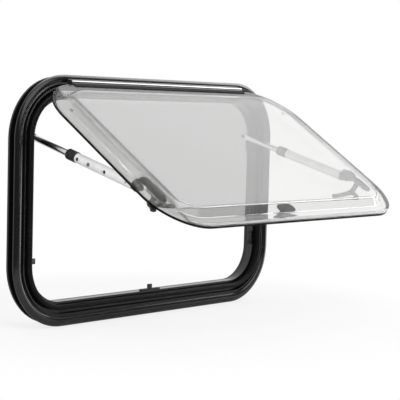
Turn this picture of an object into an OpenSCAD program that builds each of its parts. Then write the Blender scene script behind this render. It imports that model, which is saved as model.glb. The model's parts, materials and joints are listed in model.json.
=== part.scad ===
// Top-hung, push-out window for a caravan wall, in millimetres.
// X runs along the wall, Y points into the vehicle, Z points up.
// The flange bears on the wall in the plane Y = 0, and the origin is the middle of its bottom side.
// Profiles are drawn as (u, o): u is the distance in from the outer edge, o the height off the wall.

/* [Window] */
// Width over the outer flange
flange_w = 845; // [700:5:1200]
// Height over the outer flange
flange_h = 540; // [520:5:800]
// Corner radius of the outer flange
corner_r = 137; // [110:1:160]
// Angle of the sash from closed, as drawn
open_angle = 56.5; // [50:0.5:62]

/* [Wall] */
// Thickness of the wall held between the flange and the clamp frame
wall_t = 19; // [15:1:40]
// Width of the flange that bears on the wall
bearing_w = 20; // [16:1:24]
// Distance from the flange's edge to the neck that goes through the wall
neck_inset = 24; // [22:0.5:27]

/* [Outer frame] */
// Height of the rounded bead round the edge
bead_h = 8; // [6:0.5:12]
// Radius of the bead's crown
bead_crown_r = 14; // [12.5:0.5:30]
// Distance from the flange's edge to the top of the crown
bead_crown_u = 11; // [9:0.5:12]
// Width of the groove inside the bead
groove_w = 4; // [2:0.5:6]
// Height of the floor of that groove
groove_floor_h = 2; // [1:0.5:4]
// Width of the lip between the groove and the seal seat
lip_w = 4; // [3:0.5:6]
// Height of the lip
lip_h = 6.5; // [4:0.5:7]
// Depth of the seal seat behind the wall plane
seat_depth = 2; // [0:0.5:6]
// Wall thickness of the extrusion
profile_t = 3; // [2:0.5:4]
// Distance from the flange's edge to the clear opening
frame_w = 53; // [50:1:60]

/* [Clamp frame] */
// Inset of the clamp frame's edge from the flange's edge
clamp_inset = 4; // [0:0.5:10]
// Thickness of the clamp frame
clamp_t = 5; // [3:0.5:8]
// Height of the lip round the opening, inside the vehicle
clamp_lip_h = 5; // [2:0.5:10]
// Thickness of that lip
clamp_lip_t = 3; // [2:0.5:5]

/* [Sash seal] */
// Distance from the flange's edge to the middle of the bulb
bulb_inset = 41; // [40:0.5:43]
// Radius of the bulb
bulb_r = 6; // [4:0.5:6]
// Width of the foot of the seal
seal_foot_w = 10; // [6:0.5:12]
// Gap between the bulb and the closed pane
bulb_gap = 0.3; // [0.1:0.1:1]

/* [Hinge] */
// Distance from the flange's top edge to the hinge axis
hinge_inset = 17; // [16:0.5:18]
// Height of the hinge axis off the wall
hinge_o = 17; // [17:0.5:19]
// Radius of the bead that turns in the rail
hinge_bead_r = 3.4; // [2.5:0.1:4]
// Running clearance round that bead
hinge_gap = 0.4; // [0.2:0.1:0.6]
// Wall thickness of the rail
rail_t = 2.5; // [1.5:0.1:2.5]
// Angle of the rail's mouth past the leaf at both ends of its travel
mouth_spare = 26; // [22:1:30]
// Width of the rail's foot on the bead
rail_foot_w = 7; // [5:0.5:8]
// How far that foot reaches out past the barrel
rail_toe_w = 2; // [1:0.5:3]
// Thickness of the rail's foot over the crown
rail_foot_t = 2; // [1.5:0.5:3]
// Thickness of the hinge leaf
leaf_t = 2.4; // [1.6:0.1:2.6]
// Width of the wing that laps the pane
wing_w = 8; // [6:0.5:12]
// How far the rail's ends stay back from the corner curves
rail_end_gap = 2; // [0:0.5:20]
// Thickness of each rail end cap
end_cap_t = 2; // [1:0.5:4]
// How far an end cap stands past the rail's round
cap_lap = 0.7; // [0.2:0.1:0.9]
// Thickness of the leaf's web and wing
wing_t = 1.5; // [1:0.1:2]
// How far the web reaches below the inner sheet
web_drop = 1; // [0:0.5:2]
// How far the leaf's ends stay back from the rail's ends
leaf_end_gap = 1; // [0.5:0.5:5]

/* [Sash] */
// Distance from the flange's edge to the edge of the closed sash
sash_inset = 26; // [26:0.5:27]
// Height of the closed inner pane's back face off the wall
sash_o = 13; // [13:0.5:14]
// Thickness of each acrylic sheet
sheet_t = 3; // [2:0.5:3.5]
// Width of the outer sheet's flat rim, where the inner sheet is bonded
rim_w = 25; // [22:1:40]
// Width of the step up to the raised field
step_run = 18; // [14:1:30]
// Height of the step
step_rise = 14; // [8:1:20]
// Share of the step's width that each of its bends takes
step_bend = 0.2; // [0.15:0.05:0.5]
// Wall thickness of the seal round the inner sheet's edge
edge_t = 2; // [1:0.5:3]
// Thickness of that seal's lip
edge_lip_t = 1.2; // [0.8:0.1:1.6]
// Width of that seal with its lip
edge_lip_w = 8; // [5:0.5:8]
// Radius of the vent plugs
plug_r = 4; // [2.5:0.5:6]
// Height of the vent plugs
plug_h = 2; // [1:0.5:3]
// Distance of the vent plugs in from the sash's side edges
plug_inset = 44; // [30:1:80]
// Distance of the vent plugs down from the sash's top edge
plug_drop = 88; // [60:1:140]

/* [Stays] */
// Distance from the clear opening to the stay's axis
stay_side_gap = 19; // [18.5:0.5:24]
// Distance of the frame pivot below the hinge axis
stay_pivot_drop = 116; // [105:1:125]
// Depth of the frame pivot behind the wall plane
stay_pivot_depth = 24; // [20:0.5:26]
// Gap between the closed inner pane and the sash pivot's axis
stay_standoff = 15; // [13:0.5:18]
// Radius of the inner rod
rod_r = 7; // [5:0.5:8]
// Running clearance between rod and tube
rod_gap = 0.3; // [0.2:0.05:0.5]
// Wall thickness of the tube
stay_tube_t = 3.1; // [1.2:0.1:3.2]
// Radius of the friction collar
collar_r = 11.5; // [10.5:0.5:11.5]
// Length of the friction collar
collar_len = 28; // [20:1:34]
// Length of bare rod at full reach, as a share of the stay
bare_rod_share = 0.35; // [0.345:0.005:0.4]
// Length of rod that stays inside the tube at full reach
rod_overlap = 40; // [30:1:60]
// Length of the end fitting, from the tube to the pivot
end_fitting_len = 18; // [16:1:24]
// Thickness of the eyes at both ends
eye_t = 8; // [6:0.5:9]
// Radius of the eyes
eye_r = 8; // [6:0.5:8]
// Radius of the pivot pins
pin_r = 3; // [2:0.25:4]
// Running clearance at pins and beside eyes
pin_gap = 0.3; // [0.2:0.05:0.4]
// Width of the pivot pins' heads past the pin
pin_head_w = 2; // [1:0.25:2.5]
// Thickness of those heads
pin_head_t = 1.5; // [1:0.25:2]
// Thickness of the bracket and pad plates
plate_t = 3; // [2:0.5:4]
// Length of a frame bracket's foot
bracket_len = 34; // [24:1:44]
// Gap between that foot and the seal seat
bracket_seat_gap = 1; // [0.5:0.5:2]
// Length of the rod's flat neck past the eye
neck_len = 6; // [4:0.5:10]
// How far the flats of neck and end fitting are cut back
flat_cut = 1; // [0.5:0.25:1.5]
// Length of the end fitting's cap on the tube
fitting_cap_len = 7; // [5:0.5:9]
// How far that cap stands back from the tube's wall
fitting_cap_step = 0.3; // [0.1:0.1:0.5]
// Gap between the tube's wall and the pad's ear
ear_gap = 0.5; // [0.3:0.1:1]
// Thickness of the pad's ear
ear_t = 3; // [2:0.5:4]
// Half the length of a pad
pad_half = 10; // [8.5:0.5:11]

/* [Latches] */
// Distance from the clear opening to the hub of a latch
hub_gap = 27.5; // [27:0.5:32]
// Height of the side latches' hubs over the start of the bottom corner curves
side_latch_rise = 8; // [2:1:20]
// Distance from a side latch's hub up to the stay's pivot on the sash
latch_stay_gap = 35; // [34:1:50]
// Length of a latch base
base_len = 50; // [44:1:70]
// Width of a latch base
base_w = 25; // [22:1:30]
// Thickness of a latch base
base_t = 4; // [3:0.5:5]
// Straight part in the round ends of a latch base, each side of its middle
base_flat = 1; // [0.5:0.5:2]
// Radius of the post
post_r = 6; // [5:0.5:7]
// Depth of the post's shoulder behind the wall plane
post_depth = 14; // [13:0.5:16]
// Thickness of a lever
lever_t = 6; // [4:0.5:7]
// Radius of a lever's hub
lever_hub_r = 8; // [7:0.5:8.5]
// Length of a lever's tail
tail_len = 70; // [50:1:75]
// Width of the tail beside the hub
tail_w = 12; // [8:0.5:14]
// Width of the tail beside its tip
tail_end_w = 8; // [6:0.5:10]
// Radius of the tail's tip
tail_tip_r = 4.3; // [4:0.1:5]
// Bow of the tail, twice its height in the middle
tail_bow = 8; // [0:0.5:10]
// Length of a lever's nose to the centre of its tip
nose_len = 14.5; // [12:0.5:15]
// Radius of the nose's tip
nose_r = 5; // [4:0.5:5]
// How far the nose's sides stand in from that radius
nose_step = 0.4; // [0.2:0.1:0.8]
// Turn of a lever from open to locked
lever_swing = 75; // [60:1:85]
// Width of a catch's tongue
tongue_w = 12; // [8:0.5:14]
// Reach of a catch's tongue from the opening's edge
tongue_reach = 14; // [12:0.5:14.5]
// Thickness of a catch's tongue
tongue_t = 5; // [3:0.5:5]
// Gap between the tongue and a locked lever
catch_gap = 5.3; // [5:0.1:6]
// Length of a catch's foot
catch_len = 34; // [24:1:44]
// Thickness of a catch's foot
foot_t = 2.5; // [1.5:0.5:3]
// How far a catch's foot reaches past its tongue, into the vehicle
foot_reach = 6.5; // [4:0.5:8]

/* [Hidden] */
$fn = 64;

// Overlap that joins solids of one piece
join = 0.5;
// Overlap of the outer sheet's field, flank and rim
sheet_join = 0.01;
// Longer overlap of a stay's flats with its round parts
flat_join = 2;
// Overrun of a cut past a face
cut = 1;
// Facets along the outer sheet's step
step_facets = 12;
// Facets along a lever's tail
tail_facets = 12;

// Places up the window
bottom_z = -bearing_w / 2;
top_z = bottom_z + flange_h;
middle_z = bottom_z + flange_h / 2;
hinge_z = top_z - hinge_inset;

// Places across the window
opening_x = flange_w / 2 - frame_w;
stay_x = opening_x - stay_side_gap;

// Frame profile
lip_start = bearing_w + groove_w;
lip_end = lip_start + lip_w;
seat_back = seat_depth + profile_t;

// Sash: all heights are for the closed sash
sash_w = flange_w - 2 * sash_inset;
sash_h = flange_h - 2 * sash_inset;
sash_r = corner_r - sash_inset;
sheet_joint_o = sash_o + sheet_t;
rim_top_o = sheet_joint_o + sheet_t;
rail_len = flange_w - 2 * corner_r - 2 * rail_end_gap;
rail_bore_r = hinge_bead_r + hinge_gap;

// Latches
side_hub = [opening_x - hub_gap, bottom_z + corner_r + side_latch_rise];
bottom_hub = [0, bottom_z + frame_w + hub_gap];
lever_o = -post_depth - pin_gap;
tongue_back_o = lever_o + catch_gap;
side_catch_shift = max(0, catch_len / 2 - side_latch_rise);
side_nose_angle = -lever_swing;
bottom_nose_angle = -90 - lever_swing;

// Stays: the sash pivot is swung with the sash, and the stay is drawn between both pivots
stay_reach = hinge_z - side_hub[1] - latch_stay_gap;
stay_end_o = sash_o - stay_standoff;
stay_pivot_o = -stay_pivot_depth;
stay_pivot_z = hinge_z - stay_pivot_drop;
stay_back = stay_end_o - hinge_o;
stay_end_out = hinge_o + stay_reach * sin(open_angle) + stay_back * cos(open_angle) - stay_pivot_o;
stay_end_down = stay_pivot_z - hinge_z + stay_reach * cos(open_angle) - stay_back * sin(open_angle);
stay_len = norm([stay_end_out, stay_end_down]);
stay_angle = atan2(stay_end_out, stay_end_down);
bare_rod = bare_rod_share * stay_len;
tube_bore_r = rod_r + rod_gap;
tube_r = tube_bore_r + stay_tube_t;
tube_start = bare_rod + collar_len;
tube_end = stay_len - end_fitting_len;
pin_bore_r = pin_r + pin_gap;
ear_x = tube_r + ear_gap;

// How far the opening's corner curve stands in from its straight side at a height near the top
function corner_bulge(z) = (corner_r - frame_w)
    - sqrt(pow(corner_r - frame_w, 2) - pow(max(0, z - (top_z - corner_r)), 2));

// Lays a drawing made in the XY plane against the wall, with its Z pointing outwards
module on_wall() {
    translate([0, 0, middle_z]) rotate([90, 0, 0]) children();
}

// Rectangle with round corners, centred
module round_rect(w, h, r) {
    square([w - 2 * r, h], center = true);
    square([w, h - 2 * r], center = true);
    for (sx = [-1, 1]) for (sy = [-1, 1])
        translate([sx * (w / 2 - r), sy * (h / 2 - r)]) circle(r = r, $fn = 96);
}

// Sweeps a (u, o) profile round a rectangle with round corners
module ring(w, h, r) {
    for (k = [0:3]) {
        across = k % 2 == 0 ? w : h;
        along = (k % 2 == 0 ? h : w) - 2 * r;
        rotate([0, 0, 90 * k]) {
            translate([across / 2, 0, 0]) rotate([90, 0, 0])
                linear_extrude(along, center = true) mirror([1, 0]) children();
            translate([across / 2 - r, along / 2, 0])
                rotate_extrude(angle = 90, $fn = 96) translate([r, 0]) mirror([1, 0]) children();
        }
    }
}

// Extrudes a (u, o) profile along the top of the window
module along_top(len) {
    rotate([90, 0, 90]) linear_extrude(len, center = true)
        translate([0, top_z]) mirror([1, 0]) rotate(-90) children();
}

// Swings a drawing of the closed sash open
module swing() {
    translate([0, -hinge_o, hinge_z]) rotate([-open_angle, 0, 0])
        translate([0, hinge_o, -hinge_z]) children();
}

// Places a drawing at a hub on the closed sash
module at_hub(hub) {
    translate([hub[0], 0, hub[1]]) children();
}

// Places a drawing that hangs down from the frame pivot, turned to the stay's slope
module along_stay(side) {
    translate([side * stay_x, -stay_pivot_o, stay_pivot_z]) rotate([-stay_angle, 0, 0]) children();
}

// Cylinder along X between two places
module x_rod(r, x0, x1) {
    translate([min(x0, x1), 0, 0]) rotate([0, 90, 0]) cylinder(r = r, h = abs(x1 - x0));
}

// Cylinder off the wall between two heights
module o_rod(r, o0, o1) {
    translate([0, -o0, 0]) rotate([90, 0, 0]) cylinder(r = r, h = o1 - o0);
}

// Round of the bead's crown, as a drawing that is cut from what sits on it
module crown_round() {
    translate([bead_crown_u, bead_h - bead_crown_r]) circle(r = bead_crown_r, $fn = 128);
}

// Section of the outer frame's extrusion
module outer_frame_section() {
    intersection() {
        crown_round();
        square([bearing_w, bead_h]);
    }
    translate([bearing_w - join, 0]) square([groove_w + 2 * join, groove_floor_h]);
    translate([lip_start, -seat_back]) square([lip_w, seat_back + lip_h - lip_w / 2]);
    translate([lip_start + lip_w / 2, lip_h - lip_w / 2]) circle(r = lip_w / 2);
    translate([neck_inset, -wall_t]) square([profile_t, wall_t + groove_floor_h]);
    translate([neck_inset, -seat_back]) square([frame_w - neck_inset, profile_t]);
    translate([frame_w - profile_t, -wall_t]) square([profile_t, wall_t - seat_depth]);
}

module outer_frame() {
    color("#1b1b1c") on_wall() ring(flange_w, flange_h, corner_r) outer_frame_section();
}

// Section of the clamp frame: a flat band and a lip round the opening
module clamp_frame_section() {
    translate([clamp_inset, -wall_t - clamp_t]) square([frame_w - clamp_inset, clamp_t]);
    translate([frame_w - clamp_lip_t, -wall_t - clamp_t - clamp_lip_h])
        square([clamp_lip_t, clamp_lip_h + join]);
}

module clamp_frame() {
    color("#161617") on_wall() ring(flange_w, flange_h, corner_r) clamp_frame_section();
}

// Section of the bulb seal that the closed sash presses on
module seal_section() {
    translate([bulb_inset - seal_foot_w / 2, -seat_depth])
        square([seal_foot_w, seat_depth + sash_o - bulb_r]);
    translate([bulb_inset, sash_o - bulb_gap - bulb_r]) circle(r = bulb_r);
}

module sash_gasket() {
    color("#0e0e0e") on_wall() ring(flange_w, flange_h, corner_r) seal_section();
}

// Section of the hinge rail: a foot on the bead and a barrel with a mouth for the leaf
module rail_section() {
    mouth_from = -mouth_spare;
    mouth_to = open_angle + mouth_spare;
    mouth_mid = (mouth_from + mouth_to) / 2;
    far = 3 * (rail_bore_r + rail_t);
    foot_u = hinge_inset - rail_bore_r - rail_t;
    difference() {
        union() {
            translate([hinge_inset, hinge_o]) circle(r = rail_bore_r + rail_t);
            translate([foot_u - rail_toe_w, bead_h - rail_foot_t]) square([rail_foot_w, 2 * rail_foot_t]);
            translate([foot_u, bead_h - rail_foot_t])
                square([rail_foot_w - rail_toe_w - join, hinge_o - bead_h + rail_foot_t]);
        }
        crown_round();
        translate([hinge_inset, hinge_o]) {
            circle(r = rail_bore_r);
            polygon([
                [0, 0],
                [far * cos(mouth_from), far * sin(mouth_from)],
                [far * cos(mouth_mid), far * sin(mouth_mid)],
                [far * cos(mouth_to), far * sin(mouth_to)]
            ]);
        }
    }
}

module hinge_rail() {
    color("#222224") along_top(rail_len) rail_section();
}

// Cap that closes one end of the rail
module hinge_end_cap(side) {
    cap_r = rail_bore_r + rail_t + cap_lap;
    color("#101010") translate([side * (rail_len + end_cap_t) / 2, 0, 0]) along_top(end_cap_t) {
        translate([hinge_inset, hinge_o]) circle(r = cap_r);
        difference() {
            translate([hinge_inset - cap_r, bead_h - rail_foot_t])
                square([cap_r, hinge_o - bead_h + rail_foot_t]);
            crown_round();
        }
    }
}

// Section of the hinge leaf: bead, leaf, web down the sash's edge and wing over its rim
module leaf_section() {
    web_u = sash_inset - wing_t;
    web_foot_o = sash_o - web_drop;
    translate([hinge_inset, hinge_o]) circle(r = hinge_bead_r);
    translate([hinge_inset, hinge_o - leaf_t / 2]) square([web_u - hinge_inset + join, leaf_t]);
    translate([web_u, web_foot_o]) square([wing_t, rim_top_o - web_foot_o + wing_t]);
    translate([web_u, rim_top_o]) square([wing_w + wing_t, wing_t]);
}

module hinge_leaf() {
    color("#2a2a2c") swing() along_top(rail_len - 2 * leaf_end_gap) leaf_section();
}

// Rise and slope of the step at a share of its run: a bend, a straight flank and a bend
function step_share(t) = t < step_bend ? t * t / (2 * step_bend * (1 - step_bend))
    : t > 1 - step_bend ? 1 - step_share(1 - t)
    : (t - step_bend / 2) / (1 - step_bend);
function step_slope(t) = min(1, t / step_bend, (1 - t) / step_bend) * step_rise / step_run / (1 - step_bend);

// Point on one face of the outer sheet's step, u from the sheet's edge
function step_point(t, side) = [
    rim_w + step_run * t - side * sheet_t / 2 * sin(atan(step_slope(t))),
    sheet_joint_o + sheet_t / 2 + step_rise * step_share(t) + side * sheet_t / 2 * cos(atan(step_slope(t)))
];

// Section of the outer sheet's rim and step
module dome_section() {
    translate([0, sheet_joint_o]) square([rim_w + sheet_join, sheet_t]);
    polygon(concat(
        [for (i = [0:step_facets]) step_point(i / step_facets, 1)],
        [for (i = [step_facets:-1:0]) step_point(i / step_facets, -1)]
    ));
}

module outer_pane() {
    field = rim_w + step_run - sheet_join;
    color("#c9cccb", 0.6) swing() on_wall() {
        ring(sash_w, sash_h, sash_r) dome_section();
        translate([0, 0, sheet_joint_o + step_rise]) linear_extrude(sheet_t)
            round_rect(sash_w - 2 * field, sash_h - 2 * field, sash_r - field);
    }
}

module inner_pane() {
    color("#c9cccb", 0.6) swing() on_wall() translate([0, 0, sash_o]) linear_extrude(sheet_t)
        round_rect(sash_w - 2 * edge_t, sash_h - 2 * edge_t, sash_r - edge_t);
}

// Section of the seal under the outer sheet's rim, round the inner sheet's edge
module edge_seal_section() {
    translate([0, sash_o - edge_lip_t]) square([edge_t, sheet_t + edge_lip_t]);
    translate([0, sash_o - edge_lip_t]) square([edge_lip_w, edge_lip_t]);
}

module pane_edge_seal() {
    color("#141414") swing() on_wall() ring(sash_w, sash_h, sash_r) edge_seal_section();
}

// Plug in the vent hole of the inner sheet
module vent_plug(side) {
    x = side * (sash_w / 2 - plug_inset);
    z = top_z - sash_inset - plug_drop;
    color("#9a9a98") swing() translate([x, 0, z]) o_rod(plug_r, sash_o - plug_h, sash_o);
}

// Bracket on the frame's inner wall, with the pin that carries a stay's rod
module stay_bracket(side) {
    wall = stay_side_gap;
    arm_wall = wall - corner_bulge(stay_pivot_z + post_r) - join;
    foot_top = top_z - corner_r - stay_pivot_z;
    foot_front = seat_back + bracket_seat_gap - stay_pivot_depth;
    color("#151515") translate([side * stay_x, -stay_pivot_o, stay_pivot_z])
    mirror([side < 0 ? 1 : 0, 0, 0]) {
        translate([wall - plate_t, foot_front, foot_top - bracket_len])
            cube([plate_t, eye_r - foot_front, bracket_len]);
        translate([arm_wall - plate_t, -post_r, foot_top - bracket_len / 2]) {
            cube([plate_t, 2 * post_r, bracket_len / 2 - foot_top]);
            cube([wall - arm_wall + plate_t, 2 * post_r, bracket_len / 2]);
        }
        x_rod(post_r, eye_t / 2 + pin_gap, arm_wall);
        x_rod(pin_r, -eye_t / 2 - pin_gap - join, arm_wall);
        x_rod(pin_r + pin_head_w, -eye_t / 2 - pin_gap - pin_head_t, -eye_t / 2 - pin_gap);
    }
}

// Inner rod of a stay, with the eye that turns on the frame's pin
module stay_rod(side) {
    rod_len = bare_rod + rod_overlap;
    neck_end = eye_r + neck_len;
    neck_half = rod_r - flat_cut;
    color("#b9bcbe") along_stay(side) difference() {
        union() {
            x_rod(eye_r, -eye_t / 2, eye_t / 2);
            translate([-eye_t / 2, -neck_half, -neck_end]) cube([eye_t, 2 * neck_half, neck_end]);
            translate([0, 0, -rod_len]) cylinder(r = rod_r, h = rod_len - neck_end + flat_join);
        }
        x_rod(pin_bore_r, -eye_t, eye_t);
    }
}

// Friction collar on the mouth of the tube
module stay_collar(side) {
    color("#101010") along_stay(side) translate([0, 0, -tube_start]) difference() {
        cylinder(r = collar_r, h = collar_len);
        translate([0, 0, -cut]) cylinder(r = tube_bore_r, h = collar_len + 2 * cut);
    }
}

// Outer tube of a stay
module stay_tube(side) {
    len = tube_end - tube_start;
    color("#dfe1e2") along_stay(side) translate([0, 0, -tube_end]) difference() {
        cylinder(r = tube_r, h = len);
        translate([0, 0, -cut]) cylinder(r = tube_bore_r, h = len + 2 * cut);
    }
}

// End fitting of a stay, with the eye and the stub that meets the sash's pad
module stay_end(side) {
    end_eye_r = eye_r - flat_cut;
    flat_half = end_eye_r - flat_cut;
    color("#121212") along_stay(side) mirror([side < 0 ? 1 : 0, 0, 0]) {
        translate([0, 0, -tube_end - fitting_cap_len])
            cylinder(r = tube_r - fitting_cap_step, h = fitting_cap_len);
        translate([-eye_t / 2, -flat_half, -stay_len])
            cube([eye_t, 2 * flat_half, stay_len - tube_end - flat_join]);
        translate([0, 0, -stay_len]) {
            x_rod(end_eye_r, -eye_t / 2, eye_t / 2);
            x_rod(pin_r, 0, ear_x - pin_gap);
        }
    }
}

// Pad on the inner sheet, with the ear that the stay's stub meets
module stay_pad(side) {
    color("#151515") swing() translate([side * stay_x, 0, hinge_z - stay_reach])
        mirror([side < 0 ? 1 : 0, 0, 0]) difference() {
            union() {
                translate([-pad_half, -sash_o, -pad_half])
                    cube([ear_x + ear_t + pad_half, plate_t, 2 * pad_half]);
                translate([ear_x, -sash_o, -eye_r]) cube([ear_t, stay_standoff, 2 * eye_r]);
                translate([0, -stay_end_o, 0]) x_rod(eye_r, ear_x, ear_x + ear_t);
            }
            translate([0, -stay_end_o, 0]) x_rod(pin_bore_r, ear_x - cut, ear_x + ear_t + cut);
        }
}

// Base of a latch with its post and pin, drawn for the right-hand edge
module latch_base() {
    edge_shift = base_w / 2 - post_r;
    color("#3a3a3b") {
        translate([edge_shift, -sash_o + base_t, -edge_shift]) rotate([90, 0, 0]) linear_extrude(base_t)
            round_rect(base_w, base_len, base_w / 2 - base_flat);
        o_rod(post_r, -post_depth, sash_o - base_t + join);
        o_rod(pin_r, lever_o - lever_t - pin_gap - join, -post_depth + join);
        o_rod(pin_r + pin_head_w, lever_o - lever_t - pin_gap - pin_head_t, lever_o - lever_t - pin_gap);
    }
}

// Outline of a lever's tail: a tapered blade on a bowed centre line
function tail_point(t, side) = [
    tail_len * t,
    tail_bow * 2 * t * (1 - t) + side * (tail_w - (tail_w - tail_end_w) * t) / 2
];

// Extrudes a drawing made in the plane of the wall, from the lever's outer face inwards
module lever_plate() {
    translate([0, -lever_o, 0]) rotate([-90, 0, 0]) mirror([0, 1, 0]) linear_extrude(lever_t) children();
}

// Lever seen from outside, with its tail and nose at angles from +X towards +Z
module lever(tail_angle, nose_angle) {
    color("#161616") difference() {
        union() {
            lever_plate() circle(r = lever_hub_r);
            lever_plate() rotate(tail_angle) polygon(concat(
                [for (i = [0:tail_facets]) tail_point(i / tail_facets, 1)],
                [for (i = [tail_facets:-1:0]) tail_point(i / tail_facets, -1)]
            ));
            lever_plate() rotate(tail_angle) translate([tail_len, 0]) circle(r = tail_tip_r);
            lever_plate() rotate(nose_angle) translate([0, nose_step - nose_r])
                square([nose_len, 2 * (nose_r - nose_step)]);
            lever_plate() rotate(nose_angle) translate([nose_len, 0]) circle(r = nose_r);
        }
        o_rod(pin_bore_r, lever_o - lever_t - cut, lever_o + cut);
    }
}

// Catch on the frame's inner wall, drawn for the right-hand edge, with its foot shifted along the edge
module catch_block(shift) {
    color("#1a1a1a") {
        translate([hub_gap - foot_t, -tongue_back_o - tongue_t - join, shift - catch_len / 2])
            cube([foot_t, tongue_t + join + foot_reach, catch_len]);
        translate([hub_gap - tongue_reach, -tongue_back_o - tongue_t, -tongue_w / 2])
            cube([tongue_reach - foot_t + join, tongue_t, tongue_w]);
    }
}

// Turns a drawing for the right-hand edge to the bottom edge
module to_bottom() {
    at_hub(bottom_hub) rotate([0, 90, 0]) children();
}

module to_side(side) {
    mirror([side < 0 ? 1 : 0, 0, 0]) at_hub(side_hub) children();
}

outer_frame();
clamp_frame();
sash_gasket();
hinge_rail();
hinge_end_cap(-1);  // hinge_end_cap_left
hinge_end_cap(1);  // hinge_end_cap_right
stay_bracket(-1);  // stay_bracket_left
stay_bracket(1);  // stay_bracket_right
to_side(-1) catch_block(side_catch_shift);  // catch_left
to_side(1) catch_block(side_catch_shift);  // catch_right
to_bottom() catch_block(0);  // catch_bottom
outer_pane();
inner_pane();
pane_edge_seal();
hinge_leaf();
vent_plug(-1);  // vent_plug_left
vent_plug(1);  // vent_plug_right
stay_pad(-1);  // stay_pad_left
stay_pad(1);  // stay_pad_right
swing() to_side(-1) latch_base();  // latch_base_left
swing() to_side(1) latch_base();  // latch_base_right
swing() to_bottom() latch_base();  // latch_base_bottom
swing() to_side(-1) lever(180, side_nose_angle);  // latch_lever_left
swing() to_side(1) lever(180, side_nose_angle);  // latch_lever_right
swing() at_hub(bottom_hub) lever(0, bottom_nose_angle);  // latch_lever_bottom
stay_rod(-1);  // stay_rod_left
stay_rod(1);  // stay_rod_right
stay_collar(-1);  // stay_collar_left
stay_collar(1);  // stay_collar_right
stay_tube(-1);  // stay_tube_left
stay_tube(1);  // stay_tube_right
stay_end(-1);  // stay_end_left
stay_end(1);  // stay_end_right
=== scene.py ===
"""Looks of a top-hung, push-out caravan window: finishes, small fasteners, levers, stays, studio and camera.

All places are in metres in the frame of the CAD model: X along the wall, Y into the vehicle, Z up.
Heights off the wall are called "out" below and are the negative of Y while the sash is closed.
"""

import json
import logging
import math
from dataclasses import dataclass, field
from enum import Enum
from typing import Callable, Iterable, Sequence

import bmesh
import bpy
from mathutils import Matrix, Vector

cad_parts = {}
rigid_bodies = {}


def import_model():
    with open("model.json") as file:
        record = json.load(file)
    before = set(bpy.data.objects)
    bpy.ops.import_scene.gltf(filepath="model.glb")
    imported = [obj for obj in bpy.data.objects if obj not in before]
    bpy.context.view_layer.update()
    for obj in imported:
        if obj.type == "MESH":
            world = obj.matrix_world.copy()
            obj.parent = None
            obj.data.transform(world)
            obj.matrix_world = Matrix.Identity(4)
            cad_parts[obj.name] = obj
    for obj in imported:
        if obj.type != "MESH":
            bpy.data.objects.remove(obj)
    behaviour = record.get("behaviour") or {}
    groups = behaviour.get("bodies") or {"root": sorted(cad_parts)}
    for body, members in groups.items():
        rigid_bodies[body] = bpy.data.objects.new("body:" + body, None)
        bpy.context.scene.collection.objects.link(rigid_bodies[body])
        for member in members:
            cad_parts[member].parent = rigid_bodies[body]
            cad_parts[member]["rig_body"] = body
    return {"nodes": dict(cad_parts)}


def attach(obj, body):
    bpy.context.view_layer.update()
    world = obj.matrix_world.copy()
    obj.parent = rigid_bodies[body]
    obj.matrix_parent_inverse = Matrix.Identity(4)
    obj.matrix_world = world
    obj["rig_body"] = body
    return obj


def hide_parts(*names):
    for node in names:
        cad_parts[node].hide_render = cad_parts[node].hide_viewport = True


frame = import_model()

log = logging.getLogger("caravan_window")

MM = 0.001
Pair = tuple[float, float]
Point = tuple[float, float, float]
Station = tuple[float, float, float, float, float]
RIGHTWARD, INWARD, UPWARD = (1.0, 0.0, 0.0), (0.0, 1.0, 0.0), (0.0, 0.0, 1.0)

# The world sees a ray depth of 2 behind one mirror. The ramp is 1 up to there and 0 past it.
FIRST_MIRROR = (2.6, 2.4)
# In degrees: an edge past SHARP_ANGLE stays sharp in the shading, one past BEVEL_ANGLE is rounded on a copied
# CAD node, and one under FLAT_ANGLE is taken out there first. Points nearer than WELD are one there, and
# nearer than FINE_WELD on a screw's head.
SHARP_ANGLE = 35.0
BEVEL_ANGLE = 38.0
FLAT_ANGLE = 1.5
WELD = 0.01 * MM
FINE_WELD = 0.002 * MM


# Sizes shared by the sub-assemblies


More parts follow.
